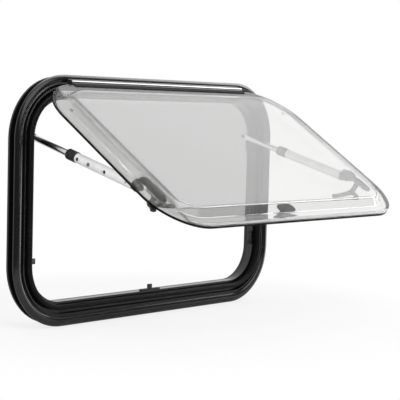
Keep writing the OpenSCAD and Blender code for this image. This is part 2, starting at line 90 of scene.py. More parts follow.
@dataclass(frozen=True)
class WindowSizes:
    """The window's own sizes, in metres and degrees, as the CAD source has them."""

    flange_w: float = 845 * MM
    flange_h: float = 540 * MM
    corner_r: float = 137 * MM
    open_angle: float = 56.5
    wall_t: float = 19 * MM
    bottom_z: float = -10 * MM
    frame_w: float = 53 * MM
    hinge_inset: float = 17 * MM
    hinge_out: float = 17 * MM
    sash_inset: float = 26 * MM
    sash_out: float = 13 * MM
    sheet_t: float = 3 * MM
    rim_w: float = 25 * MM
    step_run: float = 18 * MM
    step_rise: float = 14 * MM
    step_bend: float = 0.2
    hub_gap: float = 27.5 * MM
    side_latch_rise: float = 8 * MM
    latch_stay_gap: float = 35 * MM
    stay_side_gap: float = 19 * MM
    stay_pivot_drop: float = 116 * MM
    stay_pivot_depth: float = 24 * MM
    stay_standoff: float = 15 * MM
    bare_rod_share: float = 0.35
    collar_len: float = 28 * MM
    collar_r: float = 11.5 * MM
    tube_r: float = 10.4 * MM
    bore_r: float = 7.3 * MM
    fitting_len: float = 18 * MM
    post_depth: float = 14 * MM
    pin_gap: float = 0.3 * MM
    lever_t: float = 6 * MM
    tail_len: float = 70 * MM
    nose_len: float = 14.5 * MM
    lever_swing: float = 75.0
    clamp_t: float = 5 * MM

    @property
    def top_z(self) -> float:
        """Height of the flange's top edge."""
        return self.bottom_z + self.flange_h

    @property
    def middle_z(self) -> float:
        """Height of the window's middle."""
        return self.bottom_z + self.flange_h / 2

    @property
    def hinge_z(self) -> float:
        """Height of the hinge axis."""
        return self.top_z - self.hinge_inset

    @property
    def opening_x(self) -> float:
        """Half the width of the clear opening."""
        return self.flange_w / 2 - self.frame_w

    @property
    def sash_w(self) -> float:
        """Width of the sash."""
        return self.flange_w - 2 * self.sash_inset

    @property
    def sash_h(self) -> float:
        """Height of the sash."""
        return self.flange_h - 2 * self.sash_inset

    @property
    def sash_r(self) -> float:
        """Corner radius of the sash."""
        return self.corner_r - self.sash_inset

    @property
    def stay_x(self) -> float:
        """Distance of a stay's axis from the middle."""
        return self.opening_x - self.stay_side_gap

    @property
    def side_hub(self) -> Pair:
        """Place of the right-hand latch's hub on the closed sash."""
        return self.opening_x - self.hub_gap, self.bottom_z + self.corner_r + self.side_latch_rise

    @property
    def bottom_hub(self) -> Pair:
        """Place of the bottom latch's hub on the closed sash."""
        return 0.0, self.bottom_z + self.frame_w + self.hub_gap

    @property
    def stay_reach(self) -> float:
        """Distance of the stays' pivot on the sash from the hinge axis, along the sash."""
        return self.hinge_z - self.side_hub[1] - self.latch_stay_gap

    def stay_line(self) -> Pair:
        """Length and slope of an opened stay.

        Returns:
            The length between its pivots, and the angle in degrees from straight down, outwards.
        """
        turn = math.radians(self.open_angle)
        back = self.sash_out - self.stay_standoff - self.hinge_out
        reach = self.stay_reach
        out = self.hinge_out + reach * math.sin(turn) + back * math.cos(turn) + self.stay_pivot_depth
        down = reach * math.cos(turn) - back * math.sin(turn) - self.stay_pivot_drop
        return math.hypot(out, down), math.degrees(math.atan2(out, down))

    def swing(self) -> Matrix:
        """Matrix that takes a place on the closed sash to the sash as the photograph has it open."""
        axis = Vector((0.0, -self.hinge_out, self.hinge_z))
        turn = Matrix.Rotation(math.radians(-self.open_angle), 4, "X")
        return Matrix.Translation(axis) @ turn @ Matrix.Translation(-axis)

    def step_shape(self, t: float) -> Pair:
        """The step's rise and slope: a bend, a straight flank and a bend.

        Args:
            t: A share of the step's width, from the rim.

        Returns:
            The share of the rise, and the slope as a ratio.
        """
        bend = self.step_bend
        steep = self.step_rise / self.step_run / (1 - bend)
        slope = steep * max(0.0, min(1.0, t / bend, (1 - t) / bend))
        if t < bend:
            return t * t / (2 * bend * (1 - bend)), slope
        if t > 1 - bend:
            return 1 - (1 - t) ** 2 / (2 * bend * (1 - bend)), slope
        return (t - bend / 2) / (1 - bend), slope


WINDOW = WindowSizes()


class Side(Enum):
    """The two sides of the window, seen from outside."""

    LEFT = -1
    RIGHT = 1

    @property
    def label(self) -> str:
        """The side's word in node and body names."""
        return self.name.lower()


# Shader graphs


class Signal:
    """A socket in a shader graph, with arithmetic that adds Math nodes."""

    def __init__(self, graph: "Graph", socket: bpy.types.NodeSocket) -> None:
        """Wraps one output socket.

        Args:
            graph: The graph that holds the socket's node.
            socket: The output socket.
        """
        self.graph = graph
        self.socket = socket

    def _math(self, operation: str, *terms: "Signal | float", clamp: bool = False) -> "Signal":
        """Adds one Math node.

        Args:
            operation: The Math node's operation.
            *terms: Its inputs, in order.
            clamp: Whether the result is held between 0 and 1.

        Returns:
            The node's result.
        """
        settings = {"operation": operation, "use_clamp": clamp}
        return self.graph.node("ShaderNodeMath", settings, dict(enumerate(terms)))

    def __add__(self, other: "Signal | float") -> "Signal":
        """Sum."""
        return self._math("ADD", self, other)

    def __radd__(self, other: float) -> "Signal":
        """Sum with a number on the left."""
        return self._math("ADD", other, self)

    def __sub__(self, other: "Signal | float") -> "Signal":
        """Difference."""
        return self._math("SUBTRACT", self, other)

    def __rsub__(self, other: float) -> "Signal":
        """Difference with a number on the left."""
        return self._math("SUBTRACT", other, self)

    def __mul__(self, other: "Signal | float") -> "Signal":
        """Product."""
        return self._math("MULTIPLY", self, other)

    def __rmul__(self, other: float) -> "Signal":
        """Product with a number on the left."""
        return self._math("MULTIPLY", other, self)

    def __truediv__(self, other: "Signal | float") -> "Signal":
        """Quotient."""
        return self._math("DIVIDE", self, other)

    def __pow__(self, other: "Signal | float") -> "Signal":
        """Power."""
        return self._math("POWER", self, other)

    def clamped(self) -> "Signal":
        """The value held between 0 and 1."""
        return self._math("ADD", self, 0.0, clamp=True)

    def size(self) -> "Signal":
        """The value without its sign."""
        return self._math("ABSOLUTE", self)

    def lower(self, other: "Signal | float") -> "Signal":
        """The smaller of two values."""
        return self._math("MINIMUM", self, other)

    def higher(self, other: "Signal | float") -> "Signal":
        """The larger of two values."""
        return self._math("MAXIMUM", self, other)

    def ramp(self, low: float, high: float) -> "Signal":
        """A smooth rise from 0 at low to 1 at high, or a fall where low is the larger.

        Args:
            low: The value that gives 0.
            high: The value that gives 1.

        Returns:
            The smooth step.
        """
        settings = {"interpolation_type": "SMOOTHSTEP"}
        return self.graph.node("ShaderNodeMapRange", settings, {0: self, 1: low, 2: high, 3: 0.0, 4: 1.0})


class Tree:
    """A node tree that is being written."""

    tree: bpy.types.NodeTree

    def add(
        self,
        kind: str,
        settings: dict[str, object] | None = None,
        inputs: dict[int | str, object] | None = None,
    ) -> bpy.types.Node:
        """Adds one node.

        Args:
            kind: The node's type name.
            settings: Its properties, which are set before its sockets.
            inputs: Its sockets by number or name: numbers and colours to set, sockets and Signals to link.

        Returns:
            The node.
        """
        made = self.tree.nodes.new(kind)
        for key, value in (settings or {}).items():
            setattr(made, key, value)
        for key, value in (inputs or {}).items():
            if isinstance(value, Signal):
                value = value.socket
            if isinstance(value, bpy.types.NodeSocket):
                self.tree.links.new(value, made.inputs[key])
            else:
                made.inputs[key].default_value = value
        return made


class Graph(Tree):
    """A material's or world's node tree, emptied and ready to be written."""

    def __init__(self, owner: bpy.types.Material | bpy.types.World) -> None:
        """Empties the owner's tree.

        Args:
            owner: A material or a world.
        """
        owner.use_nodes = True
        self.tree = owner.node_tree
        self.tree.nodes.clear()
        self.end = "ShaderNodeOutput" + ("World" if isinstance(owner, bpy.types.World) else "Material")

    def node(
        self,
        kind: str,
        settings: dict[str, object] | None = None,
        inputs: dict[int | str, object] | None = None,
        output: int | str = 0,
    ) -> Signal:
        """Adds one node and wraps one of its outputs.

        Args:
            kind: The node's type name.
            settings: Its properties.
            inputs: Its sockets.
            output: The output to wrap.

        Returns:
            The output as a Signal.
        """
        return Signal(self, self.add(kind, settings, inputs).outputs[output])

    def place(self) -> Signal:
        """Object coordinates, which on every piece are places in the window's frame, in metres."""
        return self.node("ShaderNodeTexCoord", output="Object")

    def rays(self) -> "Rays":
        """What kind of ray is being answered."""
        path = self.add("ShaderNodeLightPath")
        names = ("Is Camera Ray", "Is Glossy Ray", "Is Transmission Ray", "Transparent Depth", "Ray Depth")
        camera, glossy, bent, films, depth = (Signal(self, path.outputs[name]) for name in names)
        straight = camera * films.clamped()
        return Rays(camera - straight, (glossy - bent).clamped(), bent, straight, depth.ramp(*FIRST_MIRROR))

    def toward(self, vector: Signal, direction: Sequence[float]) -> Signal:
        """How far a vector reaches along a direction.

        Args:
            vector: The vector.
            direction: The direction.

        Returns:
            Their dot product.
        """
        settings = {"operation": "DOT_PRODUCT"}
        return self.node("ShaderNodeVectorMath", settings, {0: vector, 1: tuple(direction)}, output="Value")

    def apart(self, vector: Signal) -> tuple[Signal, Signal, Signal]:
        """Splits a vector.

        Args:
            vector: The vector.

        Returns:
            Its three values.
        """
        split = self.add("ShaderNodeSeparateXYZ", None, {0: vector})
        x, y, z = (Signal(self, socket) for socket in split.outputs)
        return x, y, z

    def stretched(self, vector: Signal, scale: Sequence[float]) -> Signal:
        """Scales a vector by three numbers.

        Args:
            vector: The vector.
            scale: The three factors.

        Returns:
            The scaled vector.
        """
        return self.node("ShaderNodeVectorMath", {"operation": "MULTIPLY"}, {0: vector, 1: tuple(scale)})

    def noise(self, vector: Signal, scale: float, detail: float = 3.0, rough: float = 0.55) -> Signal:
        """Noise from 0 to 1.

        Args:
            vector: Where it is read.
            scale: Its grains per metre.
            detail: Its octaves.
            rough: How strong the finer octaves are.

        Returns:
            The noise.
        """
        inputs = {"Vector": vector, "Scale": scale, "Detail": detail, "Roughness": rough}
        return self.node("ShaderNodeTexNoise", None, inputs)

    def blend(self, mask: Signal, first: object, second: object) -> Signal:
        """Mixes two colours.

        Args:
            mask: 0 for the first colour, 1 for the second.
            first: A colour or Signal.
            second: A colour or Signal.

        Returns:
            The mixed colour.
        """
        def colour(value: object) -> object:
            """A colour with its alpha, or the Signal itself."""
            return value if isinstance(value, Signal) else (*value, 1.0)

        inputs = {0: mask, 6: colour(first), 7: colour(second)}
        return self.node("ShaderNodeMix", {"data_type": "RGBA", "clamp_factor": True}, inputs, output=2)

    def bump(self, height: Signal, strength: float, distance: float) -> Signal:
        """Turns a height into a normal.

        Args:
            height: The height, from 0 to 1.
            strength: How strong the bump is, from 0 to 1.
            distance: The height's scale, in metres.

        Returns:
            The normal.
        """
        inputs = {"Strength": strength, "Distance": distance, "Height": height}
        return self.node("ShaderNodeBump", None, inputs)

    def finish(self, shader: Signal) -> None:
        """Links a shader to the output.

        Args:
            shader: The surface or background.
        """
        self.add(self.end, None, {0: shader})


@dataclass(frozen=True)
class Rays:
    """Each is 1 for its own kind of ray, and `first` up to the first mirror."""

    camera: Signal
    mirrored: Signal
    bent: Signal
    straight: Signal
    first: Signal

    def through(self) -> Signal:
        """1 for a ray that the camera sends, through acrylic or not, and 0 for any other."""
        return (self.camera + self.bent + self.straight).clamped()


# Finishes


@dataclass(frozen=True)
class Finish:
    """A finish of one real material. Each kind writes its own graph.

    `slot` is the record's slot that it stands for, if any, and nothing here reads it. In the kinds below,
    fields called peel, cloud, speck, grain, smudge and tooth are noise scales in grains per metre, and
    `depth` is that of the bumps.
    A name that ends in `_edge` holds the ends of a soft step on such a noise, and one that ends in `_rough`
    is what it adds to the roughness.
    """

    name: str
    slot: str = ""

    def material(self) -> bpy.types.Material:
        """The material, made once and found again by its name."""
        found = bpy.data.materials.get("finish_" + self.name)
        if found is None:
            found = bpy.data.materials.new("finish_" + self.name)
            graph = Graph(found)
            graph.finish(self.surface(graph))
        return found

    def surface(self, graph: Graph) -> Signal:
        """Writes the finish.

        Args:
            graph: The empty graph.

        Returns:
            The surface shader.
        """
        raise NotImplementedError

    def principled(self, graph: Graph, inputs: dict[int | str, object]) -> Signal:
        """Adds the Principled shader.

        Args:
            graph: The graph.
            inputs: Its sockets.

        Returns:
            The shader.
        """
        return graph.node("ShaderNodeBsdfPrincipled", None, inputs)


@dataclass(frozen=True)
class SatinBlack(Finish):
    """Powder-coated black extrusion, with a fine peel and a little dust."""

    tone: float = 0.0050
    dust: float = 0.014
    rough: float = 0.17
    shine: float = 0.5
    peel: float = 900.0
    depth: float = 0.10 * MM
    peel_rough: float = 0.03
    cloud: float = 14.0
    cloud_edge: Pair = (0.42, 0.78)
    speck: float = 420.0
    speck_edge: Pair = (0.35, 0.75)
    dust_rough: float = 0.07

    def surface(self, graph: Graph) -> Signal:
        """Writes the coated black surface.

        Args:
            graph: The empty graph.

        Returns:
            The surface shader.
        """
        place = graph.place()
        peel = graph.noise(place, self.peel, 2.0)
        cloud = graph.noise(place, self.cloud, 4.0, 0.6)
        speck = graph.noise(place, self.speck, 3.0, 0.7)
        dusty = (cloud.ramp(*self.cloud_edge) * speck.ramp(*self.speck_edge)).clamped()
        black = (self.tone, self.tone, self.tone * 1.04)
        return self.principled(graph, {
            "Base Color": graph.blend(dusty * 0.5, black, (self.dust,) * 3),
            "Roughness": self.rough + dusty * self.dust_rough + peel * self.peel_rough,
            "Specular IOR Level": self.shine,
            "Normal": graph.bump(peel, 0.05, self.depth),
        })


@dataclass(frozen=True)
class MouldedPlastic(Finish):
    """Moulded plastic with a fine spark-eroded grain and rubbed high spots."""

    colour: Point = (0.012, 0.012, 0.012)
    rubbed: Point = (0.035, 0.035, 0.035)
    rough: float = 0.42
    grain: float = 2600.0
    grain_edge: Pair = (0.40, 0.70)
    grain_rough: float = 0.12
    depth: float = 0.10 * MM
    cloud: float = 60.0
    cloud_edge: Pair = (0.50, 0.80)
    worn_rough: float = -0.10
    shine: float = 0.4

    def surface(self, graph: Graph) -> Signal:
        """Writes the grained plastic.

        Args:
            graph: The empty graph.

        Returns:
            The surface shader.
        """
        place = graph.place()
        grain = graph.noise(place, self.grain, 2.0, 0.6)
        cloud = graph.noise(place, self.cloud, 3.0, 0.6)
        worn = (cloud.ramp(*self.cloud_edge) * grain.ramp(*self.grain_edge)).clamped()
        return self.principled(graph, {
            "Base Color": graph.blend(worn, self.colour, self.rubbed),
            "Roughness": self.rough + grain * self.grain_rough + worn * self.worn_rough,
            "Specular IOR Level": self.shine,
            "Normal": graph.bump(grain, 0.35, self.depth),
        })


@dataclass(frozen=True)
class SealRubber(Finish):
    """Matt rubber with a soft bloom and a fine grain."""

    tone: float = 0.005
    bloom: float = 0.016
    shine: float = 0.12
    rough: float = 0.50
    cloud: float = 35.0
    cloud_edge: Pair = (0.48, 0.85)
    grain: float = 1500.0
    grain_rough: float = 0.12
    depth: float = 0.08 * MM

    def surface(self, graph: Graph) -> Signal:
        """Writes the rubber.

        Args:
            graph: The empty graph.

        Returns:
            The surface shader.
        """
        place = graph.place()
        bloom = graph.noise(place, self.cloud, 4.0, 0.65).ramp(*self.cloud_edge)
        fine = graph.noise(place, self.grain, 2.0)
        return self.principled(graph, {
            "Base Color": graph.blend(bloom * 0.45, (self.tone,) * 3, (self.bloom,) * 3),
            "Roughness": self.rough + fine * self.grain_rough,
            "Specular IOR Level": self.shine,
            "Normal": graph.bump(fine, 0.15, self.depth),
        })


@dataclass(frozen=True)
class DrawnMetal(Finish):
    """Drawn metal: fine scratches along the stay, soft smudges, and a painted shade towards its outline by
    `rim`.

    `scratch` is what the scratches add to the roughness, and `smudge_tone` darkens the colour under a smudge.
    """

    colour: Point = (0.80, 0.81, 0.82)
    rough: float = 0.16
    scratch: float = 0.10
    metallic: float = 1.0
    # Share of the colour left at the outline. Under 1 it paints shade where the surface turns away from the
    # view.
    rim: float = 1.0
    rim_edge: Pair = (0.45, 0.95)
    grain: Point = (2400.0, 190.0, 240.0)
    depth: float = 0.06 * MM
    smudge: float = 55.0
    smudge_edge: Pair = (0.45, 0.75)
    smudge_tone: float = 0.86
    greasy_edge: Pair = (0.5, 0.8)
    greasy_rough: float = 0.08

    def surface(self, graph: Graph) -> Signal:
        """Writes the metal.

        Args:
            graph: The empty graph.

        Returns:
            The surface shader.
        """
        place = graph.place()
        lines = graph.noise(graph.stretched(place, self.grain), 1.0, 3.0, 0.6)
        smudge = graph.noise(place, self.smudge, 3.0)
        greasy = smudge.ramp(*self.greasy_edge)
        darker = tuple(part * self.smudge_tone for part in self.colour)
        # Painted shade: the colour darkens towards the outline, where the surface faces away from the view.
        outline = tuple(part * self.rim for part in self.colour)
        painted_shade_facing = graph.node("ShaderNodeLayerWeight", None, {"Blend": 0.5}, output="Facing")
        worn = graph.blend(smudge.ramp(*self.smudge_edge) * 0.6, self.colour, darker)
        return self.principled(graph, {
            "Base Color": graph.blend(painted_shade_facing.ramp(*self.rim_edge), worn, outline),
            "Metallic": self.metallic,
            "Roughness": self.rough + lines * self.scratch + greasy * self.greasy_rough,
            "Normal": graph.bump(lines, 0.12, self.depth),
        })


@dataclass(frozen=True)
class ClearAcrylic(Finish):
    """Smoke-tinted cast acrylic with a faint haze. Lamps reach what is behind it."""

    tint: Point = (0.935, 0.935, 0.932)
    haze: float = 0.033
    rough: float = 0.012
    smear_rough: float = 0.005
    smear_edge: Pair = (0.45, 0.85)
    ior: float = 1.49
    cloud: float = 9.0
    lamp_tint: Point = (0.88, 0.88, 0.88)

    def surface(self, graph: Graph) -> Signal:
        """Writes the acrylic and lets light from lamps pass.

        Args:
            graph: The empty graph.

        Returns:
            The surface shader.
        """
        place = graph.place()
        smear = graph.noise(place, self.cloud, 3.0, 0.6)
        glass = self.principled(graph, {
            "Base Color": (*self.tint, 1.0),
            "Roughness": self.rough + smear.ramp(*self.smear_edge) * self.smear_rough,
            "IOR": self.ior,
            "Transmission Weight": 1.0 - self.haze,
        })
        straight = graph.node("ShaderNodeBsdfTransparent", None, {0: (*self.tint, 1.0)})
        sheet = graph.node("ShaderNodeMixShader", None, {0: self.thinned(graph), 1: glass, 2: straight})
        passing = graph.node("ShaderNodeBsdfTransparent", None, {0: (*self.lamp_tint, 1.0)})
        shadow = graph.node("ShaderNodeLightPath", output="Is Shadow Ray")
        return graph.node("ShaderNodeMixShader", None, {0: shadow, 1: sheet, 2: passing})

    def thinned(self, graph: Graph) -> Signal:
        """How much of the light passes straight, unbent and unmirrored.

        Args:
            graph: The graph.

        Returns:
            The share, from 0 to 1.
        """
        raise NotImplementedError

    def insets(self, graph: Graph) -> tuple[Signal, Signal, Signal, Signal]:
        """Distances from the sheet's edges on the opened sash.

        Args:
            graph: The graph.

        Returns:
            The distances from the left, right, top and bottom edges.
        """
        size = WINDOW
        turn = math.radians(size.open_angle)
        down_way = (0.0, -math.sin(turn), -math.cos(turn))
        hinge = -size.hinge_out * down_way[1] + size.hinge_z * down_way[2]
        place = graph.place()
        x, _, _ = graph.apart(place)
        above = graph.toward(place, down_way) - (hinge + size.sash_inset - size.hinge_inset)
        return size.sash_w / 2 + x, size.sash_w / 2 - x, above, size.sash_h - above


@dataclass(frozen=True)
class SteppedAcrylic(ClearAcrylic):
    """The outer sheet, whose near flank is too smooth to mirror or bend much."""

    side: Pair = (62 * MM, 48 * MM)
    side_film: float = 0.9

    def thinned(self, graph: Graph) -> Signal:
        """More light passes straight beside the left edge."""
        left, _, _, _ = self.insets(graph)
        return left.ramp(*self.side) * self.side_film


@dataclass(frozen=True)
class BondedAcrylic(ClearAcrylic):
    """The inner sheet. Its faces stop mirroring where it is bonded to the rim, and softly beside the step."""

    rim: Pair = (26 * MM, 24.5 * MM)
    side: Pair = (76 * MM, 50 * MM)
    foot: Pair = (66 * MM, 60 * MM)

    def thinned(self, graph: Graph) -> Signal:
        """All light passes straight at the bond."""
        left, right, above, below = self.insets(graph)
        rim = above.lower(below).lower(left).lower(right).ramp(*self.rim)
        return rim.higher(left.ramp(*self.side)).higher(below.ramp(*self.foot))


@dataclass(frozen=True)
class StudioPaper(Finish):
    """Plain pale paper of the floor, which the camera sees as white where nothing shades it.

    Its shading fades from the radius `inner` to `outer`.
    """

    tone: float = 0.86
    shade: float = 0.22
    inner: float = 0.50
    outer: float = 0.88
    rough: float = 0.9
    tooth: float = 180.0
    depth: float = 0.2 * MM

    def surface(self, graph: Graph) -> Signal:
        """Writes the paper.

        Args:
            graph: The empty graph.

        Returns:
            The surface shader.
        """
        place = graph.place()
        tooth = graph.noise(place, self.tooth, 3.0)
        paper = self.principled(graph, {
            "Base Color": (self.tone, self.tone, self.tone, 1.0),
            "Roughness": self.rough,
            "Normal": graph.bump(tooth, 0.05, self.depth),
        })
        x, y, _ = graph.apart(place)
        radius = (x * x + y * y) ** 0.5
        white = graph.rays().through() * (1.0 - radius.ramp(self.outer, self.inner) * self.shade)
        glow = graph.node("ShaderNodeEmission", None, {"Color": (1.0, 1.0, 1.0, 1.0), "Strength": 1.0})
        return graph.node("ShaderNodeMixShader", None, {0: white, 1: paper, 2: glow})


FRAME_BLACK = SatinBlack("frame_black", "black_frame")
LEAF_BLACK = SatinBlack("leaf_black", "black_hinge", tone=0.004, rough=0.30, shine=0.06)
INNER_BLACK = SatinBlack("inner_frame_black", "black_frame_inner", rough=0.38, shine=0.4)
HINGE_METAL = DrawnMetal("hinge_metal", "black_hinge", colour=(0.34, 0.34, 0.345), rough=0.15, scratch=0.04)
SEAL_RUBBER = SealRubber("seal_rubber", "seal_rubber")
EDGE_RUBBER = SealRubber("edge_rubber", "seal_rubber", tone=0.003, bloom=0.008, shine=0.06)
ACRYLIC = SteppedAcrylic("acrylic", "acrylic")
INNER_ACRYLIC = BondedAcrylic("acrylic_bonded", "acrylic")
BLACK_PLASTIC = MouldedPlastic("black_plastic", "black_plastic")
COLLAR_PLASTIC = MouldedPlastic("collar_plastic", "collar_plastic", colour=(0.010, 0.010, 0.010), rough=0.5)
LEVER_PLASTIC = MouldedPlastic(
    "lever_plastic", "black_plastic", colour=(0.010, 0.010, 0.010), rough=0.36, shine=0.5
)
GREY_PLASTIC = MouldedPlastic(
    "grey_plastic", "grey_plastic", colour=(0.055, 0.055, 0.056), rubbed=(0.08, 0.08, 0.08)
)
PALE_PLUG = MouldedPlastic("pale_plug", colour=(0.42, 0.42, 0.41), rubbed=(0.5, 0.5, 0.5))
BRIGHT_ROD = DrawnMetal("bright_rod", "bright_rod", colour=(0.66, 0.67, 0.68), rough=0.12)
# The pale tube's rim of 0.50 is a painted shade: its outline is half as bright as its colour.
PALE_TUBE = DrawnMetal(
    "pale_tube", "pale_tube", colour=(0.96, 0.96, 0.96), rough=0.34, scratch=0.08, metallic=0.20, rim=0.50
)
SCREW_STEEL = DrawnMetal("screw_steel", colour=(0.55, 0.55, 0.56), rough=0.25)
DARK_SCREW = DrawnMetal("dark_screw", colour=(0.20, 0.20, 0.20), rough=0.30)
BLACK_SCREW = DrawnMetal("black_screw", colour=(0.05, 0.05, 0.052), rough=0.30)


# Mesh helpers


def shown(name: str, data: bpy.types.ID) -> bpy.types.Object:
    """Makes an object in the scene.

    Args:
        name: Its name.
        data: Its mesh, lamp or camera.

    Returns:
        The object, at the origin.
    """
    made = bpy.data.objects.new(name, data)
    bpy.context.scene.collection.objects.link(made)
    return made


def meshed(name: str, work: bmesh.types.BMesh) -> bpy.types.Mesh:
    """Turns a working mesh into a plain one and frees it.

    Args:
        name: The new mesh's name.
        work: The working mesh.

    Returns:
        The mesh.
    """
    mesh = bpy.data.meshes.new(name)
    work.to_mesh(mesh)
    work.free()
    return mesh


def shade(mesh: bpy.types.Mesh, sharp: float = SHARP_ANGLE) -> None:
    """Shades a mesh smooth.

    Args:
        mesh: The mesh.
        sharp: The angle past which an edge stays sharp, in degrees.
    """
    mesh.polygons.foreach_set("use_smooth", [True] * len(mesh.polygons))
    mesh.set_sharp_from_angle(angle=math.radians(sharp))


def linked(name: str, mesh: bpy.types.Mesh, finish: Finish, sharp: float = SHARP_ANGLE) -> bpy.types.Object:
    """Makes a shown object from a mesh.

    Args:
        name: The piece's name.
        mesh: Its mesh, in place.
        finish: Its finish.
        sharp: The angle past which an edge stays sharp, in degrees.

    Returns:
        The object, linked at the origin.
    """
    made = shown(name, mesh)
    mesh.materials.clear()
    mesh.materials.append(finish.material())
    shade(mesh, sharp)
    return made


def evaluated(piece: bpy.types.Object) -> bpy.types.Mesh:
    """A new mesh of a piece with its modifiers applied."""
    bpy.context.view_layer.update()
    reach = bpy.context.evaluated_depsgraph_get()
    return bpy.data.meshes.new_from_object(piece.evaluated_get(reach), depsgraph=reach)


def settle(piece: bpy.types.Object) -> None:
    """Applies a piece's modifiers and removes them.

    Args:
        piece: The piece.
    """
    mesh, old = evaluated(piece), piece.data
    piece.modifiers.clear()
    piece.data = mesh
    bpy.data.meshes.remove(old)
    shade(mesh)


def mount(piece: bpy.types.Object, body: str, finish: Finish) -> None:
    """Lets a new piece ride on a body and reports the piece with its finish.

    Args:
        piece: The piece.
        body: The body.
        finish: Its finish.
    """
    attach(piece, body)
    log.info("%s on %s: %s, %d faces", piece.name, body, finish.name, len(piece.data.polygons))


def dress(nodes: Iterable[str], finish: Finish) -> None:
    """Gives CAD nodes a finish.

    Args:
        nodes: The nodes' names.
        finish: The finish.
    """
    for name in nodes:
        piece = frame["nodes"][name]
        if not piece.material_slots:
            piece.data.materials.append(finish.material())
        for slot in piece.material_slots:
            slot.material = finish.material()
        log.info("node %s: %s", name, finish.name)


@dataclass(frozen=True)
class RimLoop:
    """Rounded rectangles round the sash that share their point order, so that they can be skinned and filled.

    `corner` is the number of segments in a corner, `wide` along the top and bottom, and `tall` along a side.
    """

    width: float
    height: float
    radius: float
    corner: int = 18
    wide: int = 28
    tall: int = 16

    @property
    def half(self) -> Pair:
        """Half the width and half the height."""
        return self.width / 2, self.height / 2

    def points(self, inset: float) -> list[Pair]:
        """The outline moved in by an inset, from the left side's foot clockwise as seen from outside.

        Args:
            inset: How far it moves in.

        Returns:
            Places across and up from the middle.
        """
        a, b = self.half[0] - inset, self.half[1] - inset
        r = self.radius - inset
        found: list[Pair] = []

        def straight(start: Pair, end: Pair, count: int) -> None:
            """Adds a straight run without its last point."""
            for i in range(count):
                t = i / count
                found.append((start[0] + (end[0] - start[0]) * t, start[1] + (end[1] - start[1]) * t))

        def bend(cx: float, cz: float, start: float) -> None:
            """Adds a quarter bend, clockwise, without its last point."""
            for i in range(self.corner):
                angle = math.radians(start - 90 * i / self.corner)
                found.append((cx + r * math.cos(angle), cz + r * math.sin(angle)))

        straight((-a, -(b - r)), (-a, b - r), self.tall)
        bend(-(a - r), b - r, 180)
        straight((-(a - r), b), (a - r, b), self.wide)
        bend(a - r, b - r, 90)
        straight((a, b - r), (a, -(b - r)), self.tall)
        bend(a - r, -(b - r), 0)
        straight((a - r, -b), (-(a - r), -b), self.wide)
        bend(-(a - r), -(b - r), -90)
        return found

    def lattice(self, first: int, add: Callable[[float, float], int], inset: float) -> list[list[int]]:
        """A grid that fills the outline and shares its points.

        Args:
            first: The index of the outline's first vertex.
            add: Adds a vertex at a place across and up, and returns its index.
            inset: The outline's inset.

        Returns:
            Rows of vertex indices from the bottom to the top, left to right.
        """
        loop = self.points(inset)
        across, up = 2 * self.corner + self.wide, self.tall
        total = len(loop)
        top = [first + up + i for i in range(across + 1)]
        right = [first + up + across + j for j in range(up + 1)]
        bottom = [first + (2 * up + across + i) % total for i in range(across + 1)]
        rows: list[list[int]] = []
        for j in range(up + 1):
            row = []
            for i in range(across + 1):
                if i == 0:
                    row.append(first + j)
                elif i == across:
                    row.append(right[up - j])
                elif j == up:
                    row.append(top[i])
                elif j == 0:
                    row.append(bottom[across - i])
                else:
                    high = loop[up + i]
                    low = loop[(2 * up + 2 * across - i) % total]
                    t = j / up
                    row.append(add(low[0] + (high[0] - low[0]) * t, low[1] + (high[1] - low[1]) * t))
            rows.append(row)
        return rows


def softened(node: str, name: str, bevel: float, finish: Finish, segments: int = 2) -> bpy.types.Object:
    """Copies a CAD node, rounds its edges and lets the copy stand for it.

    Args:
        node: The CAD node.
        name: The new piece's name.
        bevel: The width of the rounding.
        finish: Its finish.
        segments: The rounding's segments.

    Returns:
        The piece, which rides on the node's body.
    """
    source = frame["nodes"][node]
    mesh = source.data.copy()
    work = bmesh.new()
    work.from_mesh(mesh)
    bmesh.ops.remove_doubles(work, verts=work.verts, dist=WELD)
    bmesh.ops.dissolve_limit(work, angle_limit=math.radians(FLAT_ANGLE), verts=work.verts, edges=work.edges)
    work.to_mesh(mesh)
    work.free()
    piece = linked(name, mesh, finish)
    rounding = piece.modifiers.new("rounding", "BEVEL")
    rounding.width = bevel
    rounding.segments = segments
    rounding.limit_method = "ANGLE"
    rounding.angle_limit = math.radians(BEVEL_ANGLE)
    rounding.harden_normals = False
    settle(piece)
    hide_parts(node)
    mount(piece, source["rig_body"], finish)
    return piece


# Geometry node plans


